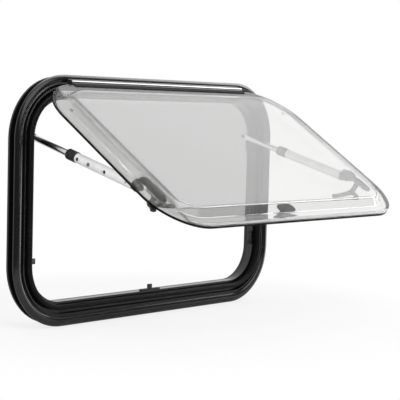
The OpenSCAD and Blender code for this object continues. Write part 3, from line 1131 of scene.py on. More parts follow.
class Plan(Tree):
    """A Geometry Nodes tree with named inputs, run once for each piece that it makes."""

    def __init__(self, name: str, inputs: dict[str, str]) -> None:
        """Starts an empty tree.

        Args:
            name: The tree's name.
            inputs: The inputs' names with their socket types.
        """
        self.tree = bpy.data.node_groups.new(name, "GeometryNodeTree")
        face = self.tree.interface
        face.new_socket(name="Geometry", in_out="OUTPUT", socket_type="NodeSocketGeometry")
        self.keys: dict[str, str] = {}
        for label, kind in {**inputs, "Finish": "Material"}.items():
            made = face.new_socket(name=label, in_out="INPUT", socket_type="NodeSocket" + kind)
            self.keys[label] = made.identifier
        self.source = self.tree.nodes.new("NodeGroupInput")

    def given(self, label: str) -> bpy.types.NodeSocket:
        """The socket of a named input."""
        return self.source.outputs[label]

    def math(self, operation: str, *terms: object) -> bpy.types.NodeSocket:
        """Adds one Math node.

        Args:
            operation: Its operation.
            *terms: Its inputs, in order.

        Returns:
            Its result.
        """
        return self.add("ShaderNodeMath", {"operation": operation}, dict(enumerate(terms))).outputs[0]

    def spread(
        self, points: bpy.types.NodeSocket, pattern: bpy.types.NodeSocket, turn: object = None
    ) -> None:
        """Ends the tree in a pattern's copies at points, as real, finished geometry.

        Args:
            points: The points.
            pattern: The pattern.
            turn: The copies' turn, if any, as three angles or a socket.
        """
        inputs: dict[int | str, object] = {"Points": points, "Instance": pattern}
        if turn is not None:
            inputs["Rotation"] = turn
        placed = self.add("GeometryNodeInstanceOnPoints", None, inputs)
        real = self.add("GeometryNodeRealizeInstances", None, {"Geometry": placed.outputs[0]})
        finish = {"Geometry": real.outputs[0], "Material": self.given("Finish")}
        dressed = self.add("GeometryNodeSetMaterial", None, finish)
        self.add("NodeGroupOutput", None, {0: dressed.outputs[0]})

    def make(
        self, name: str, body: str, finish: Finish, place: Matrix, values: dict[str, object]
    ) -> bpy.types.Object:
        """Runs the tree once and keeps its result as a plain mesh.

        Args:
            name: The piece's name.
            body: The body that it rides on.
            finish: Its finish.
            place: Where it goes, from the tree's own place.
            values: The inputs' values by name.

        Returns:
            The piece.
        """
        holder = shown(name, bpy.data.meshes.new(name))
        live = holder.modifiers.new("plan", "NODES")
        live.node_group = self.tree
        for label, value in {**values, "Finish": finish.material()}.items():
            live[self.keys[label]] = value
        mesh = evaluated(holder)
        bpy.data.objects.remove(holder)
        mesh.transform(place)
        piece = linked(name, mesh, finish)
        mount(piece, body, finish)
        return piece


def screw_head(radius: float = 3.0 * MM, height: float = 1.7 * MM) -> bpy.types.Object:
    """Makes the pan head of a cross-recess screw as a hidden pattern for the plans. Its top faces +Z.

    Args:
        radius: The head's radius.
        height: The head's height.

    Returns:
        The pattern, which isn't shown.
    """
    around, cross, cross_up = 16, 0.30, 0.45
    rings = [(1.0, -0.25), (1.0, 0.30), (0.90, 0.72), (0.66, 0.94), (0.42, 1.0)]
    work = bmesh.new()
    loops = []
    for share, up in rings:
        loops.append([
            work.verts.new((radius * share * math.cos(t), radius * share * math.sin(t), height * up))
            for t in (math.tau * (i + 0.5) / around for i in range(around))
        ])
    for low, high in zip(loops, loops[1:]):
        for i in range(around):
            j = (i + 1) % around
            work.faces.new((low[i], low[j], high[j], high[i]))
    work.faces.new(loops[0][::-1])
    floor = []
    for i, v in enumerate(loops[-1]):
        share = 1.0 if i % 4 in (0, 3) else cross
        floor.append(work.verts.new((v.co.x * share, v.co.y * share, height * cross_up)))
    top = [work.verts.new((v.co.x, v.co.y, height)) for v in floor]
    for i in range(around):
        j = (i + 1) % around
        work.faces.new((loops[-1][i], loops[-1][j], top[j], top[i]))
        work.faces.new((top[i], top[j], floor[j], floor[i]))
    work.faces.new(floor)
    bmesh.ops.remove_doubles(work, verts=work.verts, dist=FINE_WELD)
    bmesh.ops.recalc_face_normals(work, faces=work.faces)
    return bpy.data.objects.new("screw_pattern", meshed("screw_pattern", work))


class Plans:
    """The plans that several sub-assemblies share, made once."""

    def __init__(self) -> None:
        """Writes every plan."""
        self.head = screw_head()
        self.rim_screws = self._rim_screws()
        self.row = self._row()
        self.ribs = self._ribs()
        self.bars = self._bars()

    def _head(self, plan: Plan) -> bpy.types.NodeSocket:
        """The screw pattern's geometry inside a plan."""
        return plan.add("GeometryNodeObjectInfo", None, {"Object": plan.given("Head")}).outputs["Geometry"]

    def _spin(self, plan: Plan, seed: int) -> bpy.types.NodeSocket:
        """A random turn about the screw's own axis.

        Args:
            plan: The plan.
            seed: The fixed seed.

        Returns:
            A rotation for each point.
        """
        turn = plan.add(
            "FunctionNodeRandomValue", {"data_type": "FLOAT_VECTOR"},
            {"Min": (0.0, 0.0, 0.0), "Max": (0.0, 0.0, math.pi / 2), "Seed": seed},
        )
        return turn.outputs["Value"]

    def _line(self, plan: Plan) -> bpy.types.NodeSocket:
        """Points along X, centred, from a plan's Count and Pitch.

        Args:
            plan: The plan.

        Returns:
            The points.
        """
        steps = plan.math("SUBTRACT", plan.given("Count"), 1)
        first = plan.math("MULTIPLY", steps, plan.math("MULTIPLY", plan.given("Pitch"), -0.5))
        start = plan.add("ShaderNodeCombineXYZ", None, {0: first}).outputs[0]
        step = plan.add("ShaderNodeCombineXYZ", None, {0: plan.given("Pitch")}).outputs[0]
        return plan.add("GeometryNodeMeshLine", None, {
            "Count": plan.given("Count"), "Start Location": start, "Offset": step,
        }).outputs[0]

    def _rim_screws(self) -> Plan:
        """Screws at even steps round a rectangle with round corners, in the XY plane, heads up."""
        sizes = dict.fromkeys(("Width", "Height", "Radius"), "Float")
        plan = Plan("rim_screws", {"Head": "Object", **sizes, "Count": "Int"})
        outline = plan.add("GeometryNodeCurvePrimitiveQuadrilateral", None, {
            "Width": plan.given("Width"), "Height": plan.given("Height"),
        })
        rounded = plan.add("GeometryNodeFilletCurve", {"mode": "POLY"}, {
            "Curve": outline.outputs[0], "Radius": plan.given("Radius"), "Count": 12,
        })
        points = plan.add("GeometryNodeResampleCurve", None, {
            "Curve": rounded.outputs[0], "Count": plan.given("Count"),
        })
        plan.spread(points.outputs[0], self._head(plan), self._spin(plan, 7))
        return plan

    def _row(self) -> Plan:
        """Screws at even steps along X, centred, heads up."""
        plan = Plan("screw_row", {"Head": "Object", "Count": "Int", "Pitch": "Float"})
        plan.spread(self._line(plan), self._head(plan), self._spin(plan, 3))
        return plan

    def _rod(self, plan: Plan, corners: int, radius: str) -> bpy.types.NodeSocket:
        """A round bar along Z, of a plan's Length.

        Args:
            plan: The plan.
            corners: The bar's segments.
            radius: The name of the plan's input for its radius.

        Returns:
            The bar.
        """
        return plan.add("GeometryNodeMeshCylinder", {"fill_type": "NGON"}, {
            "Vertices": corners, "Radius": plan.given(radius), "Depth": plan.given("Length"),
        }).outputs[0]

    def _ribs(self) -> Plan:
        """Round ribs round a Z axis, each standing up along it."""
        plan = Plan("knurl_ribs", {"Count": "Int", "Radius": "Float", "Rib": "Float", "Length": "Float"})
        ring = plan.add("GeometryNodeMeshCircle", None, {
            "Vertices": plan.given("Count"), "Radius": plan.given("Radius"),
        })
        plan.spread(ring.outputs[0], self._rod(plan, 8, "Rib"))
        return plan

    def _bars(self) -> Plan:
        """Round bars across X at even steps along it, centred."""
        plan = Plan("grip_bars", {"Count": "Int", "Pitch": "Float", "Radius": "Float", "Length": "Float"})
        plan.spread(self._line(plan), self._rod(plan, 12, "Radius"), (math.pi / 2, 0.0, 0.0))
        return plan

    def screws(
        self,
        name: str,
        body: str,
        place: Matrix,
        count: int,
        pitch: float,
        scale: float = 1.0,
        finish: Finish = SCREW_STEEL,
    ) -> bpy.types.Object:
        """A row of screws.

        Args:
            name: The piece's name.
            body: The body that it rides on.
            place: The row's place. Its X runs along the row and its Z is the way the heads face.
            count: How many.
            pitch: Their distance.
            scale: The heads' size beside the pattern's.
            finish: Their finish.

        Returns:
            The piece.
        """
        values = {"Head": self.head, "Count": count, "Pitch": pitch / scale}
        return self.row.make(name, body, finish, place @ Matrix.Scale(scale, 4), values)


def axes(origin: Sequence[float], along: Sequence[float], up: Sequence[float]) -> Matrix:
    """A place with a given X and Z direction.

    Args:
        origin: Where it is.
        along: Its X direction.
        up: Its Z direction, made square to X.

    Returns:
        The place.
    """
    x = Vector(along).normalized()
    z = (Vector(up) - Vector(up).dot(x) * x).normalized()
    y = z.cross(x)
    return Matrix.Translation(Vector(origin)) @ Matrix((x, y, z)).transposed().to_4x4()


@dataclass(frozen=True)
class PlateShape:
    """A flat plate's length, width and thickness, the rounding of its upper edge, and its corner radius."""

    length: float
    width: float
    thick: float
    soft: float
    round_r: float


class Loft:
    """Closed shells that are swept along a centre line or spun about an axis, gathered in one mesh."""

    def __init__(self) -> None:
        """Starts empty."""
        self.work = bmesh.new()

    def skin(self, rings: Sequence[Sequence[Vector]], looped: bool = False) -> None:
        """Joins rings of equal length into one closed shell.

        Args:
            rings: The rings, in order.
            looped: Whether the last ring meets the first. If not, both ends are flat.
        """
        made = [[self.work.verts.new(point) for point in ring] for ring in rings]
        count = len(made[0])
        faces = [] if looped else [self.work.faces.new(made[0][::-1]), self.work.faces.new(made[-1])]
        ends = made[1:] + made[:1] if looped else made[1:]
        for low, high in zip(made, ends):
            for i in range(count):
                j = (i + 1) % count
                faces.append(self.work.faces.new((low[i], low[j], high[j], high[i])))
        bmesh.ops.recalc_face_normals(self.work, faces=faces)

    def spin(
        self, place: Matrix, profile: Sequence[Pair], around: int = 32, looped: bool = False
    ) -> None:
        """Spins a profile about a place's Z axis.

        Args:
            place: The axis.
            profile: Pairs of radius and height, in order.
            around: Segments round the axis.
            looped: Whether the profile is a closed loop round a bore.
        """
        turns = [math.tau * i / around for i in range(around)]
        rings = [[place @ Vector((r * math.cos(t), r * math.sin(t), z)) for t in turns] for r, z in profile]
        self.skin(rings, looped)

    def bar(self, place: Matrix, line: Sequence[Station], square: float = 3.2, around: int = 20) -> None:
        """Sweeps a rounded section along a line in a place's own axes.

        Args:
            place: Its X runs along the bar, its Y across it and its Z through its thickness.
            line: For each station the place along, the sideways shift, the lift, the width and the thickness.
            square: How square the section is, from 2 for an ellipse.
            around: The section's points.
        """
        rings = []
        for index, (x, y, z, width, thick) in enumerate(line):
            before, after = line[max(0, index - 1)], line[min(len(line) - 1, index + 1)]
            ahead = Vector([b - a for a, b in zip(before[:3], after[:3])]).normalized()
            side = Vector((0.0, 0.0, 1.0)).cross(ahead).normalized()
            lift = ahead.cross(side)
            ring = []
            for i in range(around):
                t = math.tau * i / around
                c, k = math.cos(t), math.sin(t)
                u = math.copysign(abs(c) ** (2 / square), c) * width / 2
                v = math.copysign(abs(k) ** (2 / square), k) * thick / 2
                ring.append(place @ (Vector((x, y, z)) + side * u + lift * v))
            rings.append(ring)
        self.skin(rings)

    def plate(self, place: Matrix, shape: PlateShape, steps: int = 8) -> None:
        """Adds a flat plate with round corners along a place's X, its foot in the place's XY plane.

        Args:
            place: The plate's place.
            shape: Its sizes.
            steps: Segments in a corner.
        """
        top, soft = shape.thick, shape.soft
        rings = []
        for inset, z in ((0.0, 0.0), (0.0, top - soft), (soft * 0.3, top - soft * 0.3), (soft, top)):
            r = shape.round_r - inset
            x, y = shape.length / 2 - inset - r, shape.width / 2 - inset - r
            ring = []
            for cx, cy, start in ((x, y, 0), (-x, y, 90), (-x, -y, 180), (x, -y, 270)):
                for i in range(steps + 1):
                    t = math.radians(start + 90 * i / steps)
                    ring.append(place @ Vector((cx + r * math.cos(t), cy + r * math.sin(t), z)))
            rings.append(ring)
        self.skin(rings)

    def piece(self, name: str, finish: Finish, body: str, sharp: float = 40.0) -> bpy.types.Object:
        """Ends the loft as a piece.

        Args:
            name: The piece's name.
            finish: Its finish.
            body: The body that it rides on.
            sharp: The angle past which an edge stays sharp, in degrees.

        Returns:
            The piece.
        """
        made = linked(name, meshed(name, self.work), finish, sharp)
        mount(made, body, finish)
        return made


# Sub-assemblies


@dataclass(frozen=True)
class ScrewPair:
    """Two screws in the foot of a part: the foot's thickness, their place in Y, their distance and scale."""

    foot: float
    depth: float
    pitch: float
    scale: float


@dataclass
class FrameAssembly:
    """The outer flange, the clamp frame, the seal, the hinge rail, brackets and catches.

    `bracket_drop` and `catch_rise` are the screws' heights from a stay's pivot and from a latch's hub.
    `foot_depth` and `foot_sink` place the bottom catch's foot in Y, and how far it is let into the sill.
    """

    plans: Plans
    sizes: WindowSizes = WINDOW
    clamp_screws: int = 22
    screw_inset: float = 28 * MM
    cap_round: float = 0.5 * MM
    bracket_round: float = 0.6 * MM
    catch_round: float = 0.7 * MM
    bracket_pair: ScrewPair = ScrewPair(3 * MM, 19 * MM, 20 * MM, 0.85)
    catch_pair: ScrewPair = ScrewPair(2.5 * MM, 11.5 * MM, 24 * MM, 0.75)
    bracket_drop: float = 21 * MM
    catch_rise: float = 9 * MM
    catch_foot: PlateShape = PlateShape(64 * MM, 10 * MM, 4.4 * MM, 1.0 * MM, 4.0 * MM)
    foot_depth: float = 6.0 * MM
    foot_sink: float = 0.2 * MM

    def build(self) -> None:
        """Dresses the frame's own nodes and adds its screws."""
        dress(["outer_frame"], FRAME_BLACK)
        dress(["clamp_frame"], INNER_BLACK)
        dress(["sash_gasket"], SEAL_RUBBER)
        dress(["hinge_rail"], HINGE_METAL)
        for side in Side:
            word = side.label
            softened(f"hinge_end_cap_{word}", f"rail_cap_{word}", self.cap_round, BLACK_PLASTIC)
            softened(f"stay_bracket_{word}", f"frame_bracket_{word}", self.bracket_round, BLACK_PLASTIC)
            softened(f"catch_{word}", f"catch_piece_{word}", self.catch_round, BLACK_PLASTIC)
            self.side_screws(side)
        softened("catch_bottom", "catch_piece_bottom", self.catch_round, BLACK_PLASTIC)
        self.bottom_catch()
        self.rim_screws()

    def bottom_catch(self) -> None:
        """The bottom catch's two screws and its thin foot on the sill."""
        pair, sill = self.catch_pair, self.sizes.bottom_z + self.sizes.frame_w
        self.screw_pair("catch_bottom", pair, axes((0.0, pair.depth, sill + pair.foot), RIGHTWARD, UPWARD))
        foot = Loft()
        foot.plate(axes((0.0, self.foot_depth, sill - self.foot_sink), RIGHTWARD, UPWARD), self.catch_foot)
        foot.piece("catch_foot_bottom", BLACK_PLASTIC, "frame")

    def rim_screws(self) -> None:
        """Screws all round the inside of the clamp frame."""
        s = self.sizes
        face = axes((0.0, s.wall_t + s.clamp_t, s.middle_z), (-1.0, 0.0, 0.0), INWARD)
        self.plans.rim_screws.make("screws_clamp_frame", "frame", SCREW_STEEL, face, {
            "Head": self.plans.head,
            "Width": s.flange_w - 2 * self.screw_inset,
            "Height": s.flange_h - 2 * self.screw_inset,
            "Radius": s.corner_r - self.screw_inset,
            "Count": self.clamp_screws,
        })

    def side_screws(self, side: Side) -> None:
        """Two screws in the foot of a stay's bracket, and two in that of a side catch.

        Args:
            side: The side.
        """
        s, way = self.sizes, side.value
        feet = (
            ("bracket", self.bracket_pair, s.hinge_z - s.stay_pivot_drop - self.bracket_drop),
            ("catch", self.catch_pair, s.side_hub[1] + self.catch_rise),
        )
        for part, pair, height in feet:
            at = (way * (s.opening_x - pair.foot), pair.depth, height)
            self.screw_pair(f"{part}_{side.label}", pair, axes(at, UPWARD, (-way, 0.0, 0.0)))

    def screw_pair(self, part: str, pair: ScrewPair, place: Matrix) -> None:
        """Two black screws.

        Args:
            part: The part's word.
            pair: The screws' sizes.
            place: Their place.
        """
        self.plans.screws(f"screws_{part}", "frame", place, 2, pair.pitch, pair.scale, BLACK_SCREW)


@dataclass
class SashAssembly:
    """The two acrylic sheets, their edge seal, the hinge leaf and the vent plugs.

    `crown` is how far the outer sheet's field rises in its middle, and `bond_gap` what the sheet stands off
    the inner one at the rim. `rim_rings` are the shares of the rim's width that get a ring of their own.
    """

    sizes: WindowSizes = WINDOW
    crown: float = 2.5 * MM
    edge_round: float = 0.5 * MM
    bond_gap: float = 0.1 * MM
    rim_rings: Pair = (0.5, 0.88)
    step_rings: int = 24
    sharp: float = 50.0

    def build(self) -> None:
        """Builds the crowned outer sheet and dresses the rest."""
        self.outer_sheet()
        dress(["inner_pane"], INNER_ACRYLIC)
        dress(["pane_edge_seal"], EDGE_RUBBER)
        dress(["hinge_leaf"], LEAF_BLACK)
        dress(["vent_plug_left", "vent_plug_right"], PALE_PLUG)

    def profile(self, side: float) -> list[Pair]:
        """One face of the sheet from its edge to the field's edge.

        Args:
            side: 1 for the outer face, -1 for the inner one.

        Returns:
            Pairs of inset from the sheet's edge and height off the wall.
        """
        s = self.sizes
        middle = s.sash_out + s.sheet_t * 1.5
        half = side * s.sheet_t / 2
        soft = self.edge_round
        face = middle + half + (self.bond_gap if side < 0 else 0.0)
        found = [
            (0.0, face - side * soft),
            (soft * 0.3, face - side * soft * 0.3),
            (soft, face),
            *((s.rim_w * share, face) for share in self.rim_rings),
        ]
        for i in range(self.step_rings + 1):
            t = i / self.step_rings
            share, slope = s.step_shape(t)
            lean = math.atan(slope)
            up = middle + s.step_rise * share + half * math.cos(lean)
            found.append((s.rim_w + s.step_run * t - half * math.sin(lean), up))
        return found

    def outer_sheet(self) -> None:
        """Skins the outer sheet as one closed shell: rim, eased step and a slightly crowned field."""
        s = self.sizes
        loop = RimLoop(s.sash_w, s.sash_h, s.sash_r)
        swing = s.swing()
        work = bmesh.new()
        count = len(loop.points(0.0))
        reach = (loop.half[0] - s.rim_w - s.step_run, loop.half[1] - s.rim_w - s.step_run)

        def add(x: float, up: float, out: float) -> int:
            """Adds a vertex at a place on the closed sash."""
            work.verts.new(swing @ Vector((x, -out, s.middle_z + up)))
            return len(work.verts) - 1

        def crowned(x: float, up: float) -> float:
            """The crown's height at a place in the field."""
            return self.crown * max(0.0, 1 - (x / reach[0]) ** 2) * max(0.0, 1 - (up / reach[1]) ** 2)

        quads: list[tuple[int, ...]] = []
        rims: list[int] = []
        for side in (1, -1):
            rings = []
            for inset, out in self.profile(side):
                rings.append(len(work.verts))
                for x, up in loop.points(inset):
                    add(x, up, out)
            rims.append(rings[0])
            for low, high in zip(rings, rings[1:]):
                for i in range(count):
                    j = (i + 1) % count
                    quad = (low + i, low + j, high + j, high + i)
                    quads.append(quad[::-1] if side > 0 else quad)
            inset, out = self.profile(side)[-1]
            rows = loop.lattice(rings[-1], lambda x, up: add(x, up, out + crowned(x, up)), inset)
            for low_row, high_row in zip(rows, rows[1:]):
                for i in range(len(low_row) - 1):
                    quad = (low_row[i], low_row[i + 1], high_row[i + 1], high_row[i])
                    quads.append(quad if side > 0 else quad[::-1])
        for i in range(count):
            j = (i + 1) % count
            quads.append((rims[0] + i, rims[0] + j, rims[1] + j, rims[1] + i))
        work.verts.ensure_lookup_table()
        for quad in quads:
            work.faces.new([work.verts[i] for i in quad])
        bmesh.ops.recalc_face_normals(work, faces=work.faces)
        piece = linked("outer_sheet", meshed("outer_sheet", work), ACRYLIC, self.sharp)
        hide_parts("outer_pane")
        mount(piece, "sash", ACRYLIC)


# The two halves of a collar's section, from its foot and to its far end. Each pair is a depth below the
# collar's radius and a distance from that half's own end, in millimetres. The two pairs that meet in the
# middle are the ends of its waist.
COLLAR_FOOT = ((2.4, 0.0), (1.2, 0.35), (0.25, 1.2), (0.0, 2.2), (0.0, 4.6), (0.45, 5.0))
COLLAR_HEAD = ((0.45, 6.6), (0.0, 6.2), (0.0, 1.4), (0.3, 0.6), (0.9, 0.0))


@dataclass
class StayAssembly:
    """One telescopic stay: rod, ribbed friction collar, drilled tube and end fitting.

    Places along it are from its pivot on the frame, and scales are beside the screw pattern's size.
    `screw_sink` is how deep a screw sits in the tube's face, `plug_rise` how far a stop's plug stands off the
    bore, and `rib_margin` what a rib is shorter than the waist at each end.
    """

    side: Side
    plans: Plans
    sizes: WindowSizes = WINDOW
    end_round: float = 0.5 * MM
    pad_round: float = 0.6 * MM
    collar_around: int = 56
    ribs: int = 30
    rib_r: float = 0.44 * MM
    rib_margin: float = 0.4 * MM
    tube_around: int = 72
    mouth_round: float = 0.5 * MM
    hole_places: tuple[float, ...] = (152 * MM, 234 * MM)
    hole_r: float = 4.0 * MM
    hole_around: int = 28
    drill_past: float = 2 * MM
    plug_scale: float = 1.28
    plug_rise: float = 0.6 * MM
    screw_place: float = 186.5 * MM
    screw_scale: float = 1.35
    rivet_place: float = 297 * MM
    rivet_scale: float = 0.7
    screw_sink: float = 0.3 * MM

    def axis(self, along: float) -> Matrix:
        """A place on the stay's axis.

        Args:
            along: The distance from the frame pivot.

        Returns:
            The place. Its Z runs down the stay and its X faces the nearer side edge.
        """
        s = self.sizes
        _, slope = s.stay_line()
        lean = math.radians(slope)
        way = Vector((0.0, -math.sin(lean), -math.cos(lean)))
        pivot = Vector((self.side.value * s.stay_x, s.stay_pivot_depth, s.hinge_z - s.stay_pivot_drop))
        return axes(pivot + way * along, (self.side.value, 0.0, 0.0), way)

    def build(self) -> None:
        """Builds the stay's own pieces and dresses the rest."""
        word = self.side.label
        dress([f"stay_rod_{word}"], BRIGHT_ROD)
        self.tube()
        self.collar()
        softened(f"stay_end_{word}", f"end_fitting_{word}", self.end_round, BLACK_PLASTIC)
        softened(f"stay_pad_{word}", f"sash_pad_{word}", self.pad_round, BLACK_PLASTIC)
        self.fasteners()

    def collar(self) -> None:
        """The collar: chamfered ends, a waist groove and grip ribs."""
        s, word = self.sizes, self.side.label
        start = s.bare_rod_share * s.stay_line()[0]
        r, bore, length = s.collar_r, s.bore_r, s.collar_len
        foot = [(r - depth * MM, at * MM) for depth, at in COLLAR_FOOT]
        head = [(r - depth * MM, length - at * MM) for depth, at in COLLAR_HEAD]
        section = [(bore, 0.0), *foot, *head, (bore, length)]
        shell = Loft()
        shell.spin(self.axis(start), section, self.collar_around, looped=True)
        made = shell.piece(f"collar_{word}", COLLAR_PLASTIC, f"tube_{word}")
        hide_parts(f"stay_collar_{word}")
        (waist_r, low), (_, high) = foot[-1], head[0]
        middle, rib_len = self.axis(start + (low + high) / 2), high - low - 2 * self.rib_margin
        self.plans.ribs.make(f"collar_ribs_{word}", f"tube_{word}", COLLAR_PLASTIC, middle, {
            "Count": self.ribs, "Radius": waist_r, "Rib": self.rib_r, "Length": rib_len,
        })

    def tube(self) -> None:
        """The tube, with rounded mouths and two drilled stops in its outer side."""
        s, word = self.sizes, self.side.label
        start = s.bare_rod_share * s.stay_line()[0] + s.collar_len
        length = s.stay_line()[0] - s.fitting_len - start
        r, bore, soft = s.tube_r, s.bore_r, self.mouth_round
        shell = Loft()
        shell.spin(self.axis(start), [
            (bore, soft), (bore + soft, 0.0), (r - soft, 0.0), (r, soft),
            (r, length - soft), (r - soft, length), (bore + soft, length), (bore, length - soft),
        ], self.tube_around, looped=True)
        made = shell.piece(f"tube_{word}", PALE_TUBE, f"tube_{word}")
        drill = Loft()
        bit = [(self.hole_r, bore - self.drill_past), (self.hole_r, r + self.drill_past)]
        for along in self.hole_places:
            drill.spin(self.outer_side(along, 0.0), bit, self.hole_around)
        cutter = shown("drill", meshed("drill", drill.work))
        bore_out = made.modifiers.new("holes", "BOOLEAN")
        bore_out.operation = "DIFFERENCE"
        bore_out.solver = "EXACT"
        bore_out.object = cutter
        settle(made)
        mesh = cutter.data
        bpy.data.objects.remove(cutter)
        bpy.data.meshes.remove(mesh)
        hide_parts(f"stay_tube_{word}")

    def outer_side(self, along: float, out: float) -> Matrix:
        """A place on the tube's outer side.

        Args:
            along: The distance from the frame pivot.
            out: The distance from the stay's axis.

        Returns:
            The place, whose Z leads away from the axis.
        """
        quarter = Matrix.Rotation(math.radians(90), 4, "Y")
        return self.axis(along) @ quarter @ Matrix.Translation((0.0, 0.0, out))

    def fasteners(self) -> None:
        """The stop screw and the end rivet in the tube's outer side, and the plugs in its drilled stops."""
        s, word = self.sizes, self.side.label
        face, floor = s.tube_r - self.screw_sink, s.bore_r + self.plug_rise
        rows = [
            ("stop_screw", self.screw_place, face, self.screw_scale, DARK_SCREW),
            ("end_rivet", self.rivet_place, face, self.rivet_scale, DARK_SCREW),
        ]
        for index, along in enumerate(self.hole_places):
            rows.append((f"stop_plug_{index}", along, floor, self.plug_scale, BLACK_PLASTIC))
        for label, along, out, scale, finish in rows:
            place = self.outer_side(along, out)
            self.plans.screws(f"{label}_{word}", f"tube_{word}", place, 1, 0.0, scale, finish)


@dataclass(frozen=True)
class Arm:
    """One arm of a lever, in metres from the lever's axis.

    Its middle is a quarter of `bow` aside, and its end rises by `arch`. Its width and thickness are pairs of
    a first value and what is added up to its end, in millimetres. Past the share `tip` of its length it
    narrows to a round end, down to the two shares of `least`.
    """

    start: float
    end: float
    bow: float
    arch: float
    width: Pair
    thick: Pair
    tip: float
    least: Pair
    steps: int

    def spot(self, t: float) -> Point:
        """Place of the arm's middle at a share of its length."""
        return self.start + (self.end - self.start) * t, self.bow * t * (1 - t), -self.arch * t * t

    def line(self) -> list[Station]:
        """The arm's stations."""
        found = []
        for i in range(self.steps + 1):
            t = i / self.steps
            tip = math.sqrt(max(0.0, 1 - max(0.0, (t - self.tip) / (1 - self.tip)) ** 2))
            width = (self.width[0] + self.width[1] * t) * MM * max(self.least[0], tip)
            thick = (self.thick[0] + self.thick[1] * t) * MM * max(self.least[1], tip)
            found.append((*self.spot(t), width, thick))
        return found


@dataclass(frozen=True)
class LatchWay:
    """How one latch lies on the closed sash, seen from outside.

    `tail` and `nose` are the lever's angles in degrees from the right, `bow` is the sign of the tail's bow,
    `screw_side` is the side of the hub that the base's screws are on, and `screw_way` is their line.
    """

    word: str
    hub: Pair
    tail: float
    nose: float
    bow: float
    screw_side: Pair
    screw_way: Point


SIDE_HUB, SWING = WINDOW.side_hub, WINDOW.lever_swing
LATCHES = (
    LatchWay("left", (-SIDE_HUB[0], SIDE_HUB[1]), 0.0, 180 + SWING, -1.0, (-1.0, -1.0), INWARD),
    LatchWay("right", SIDE_HUB, 180.0, -SWING, 1.0, (1.0, -1.0), INWARD),
    LatchWay("bottom", WINDOW.bottom_hub, 0.0, -90 - SWING, 1.0, (-1.0, -1.0), RIGHTWARD),
)


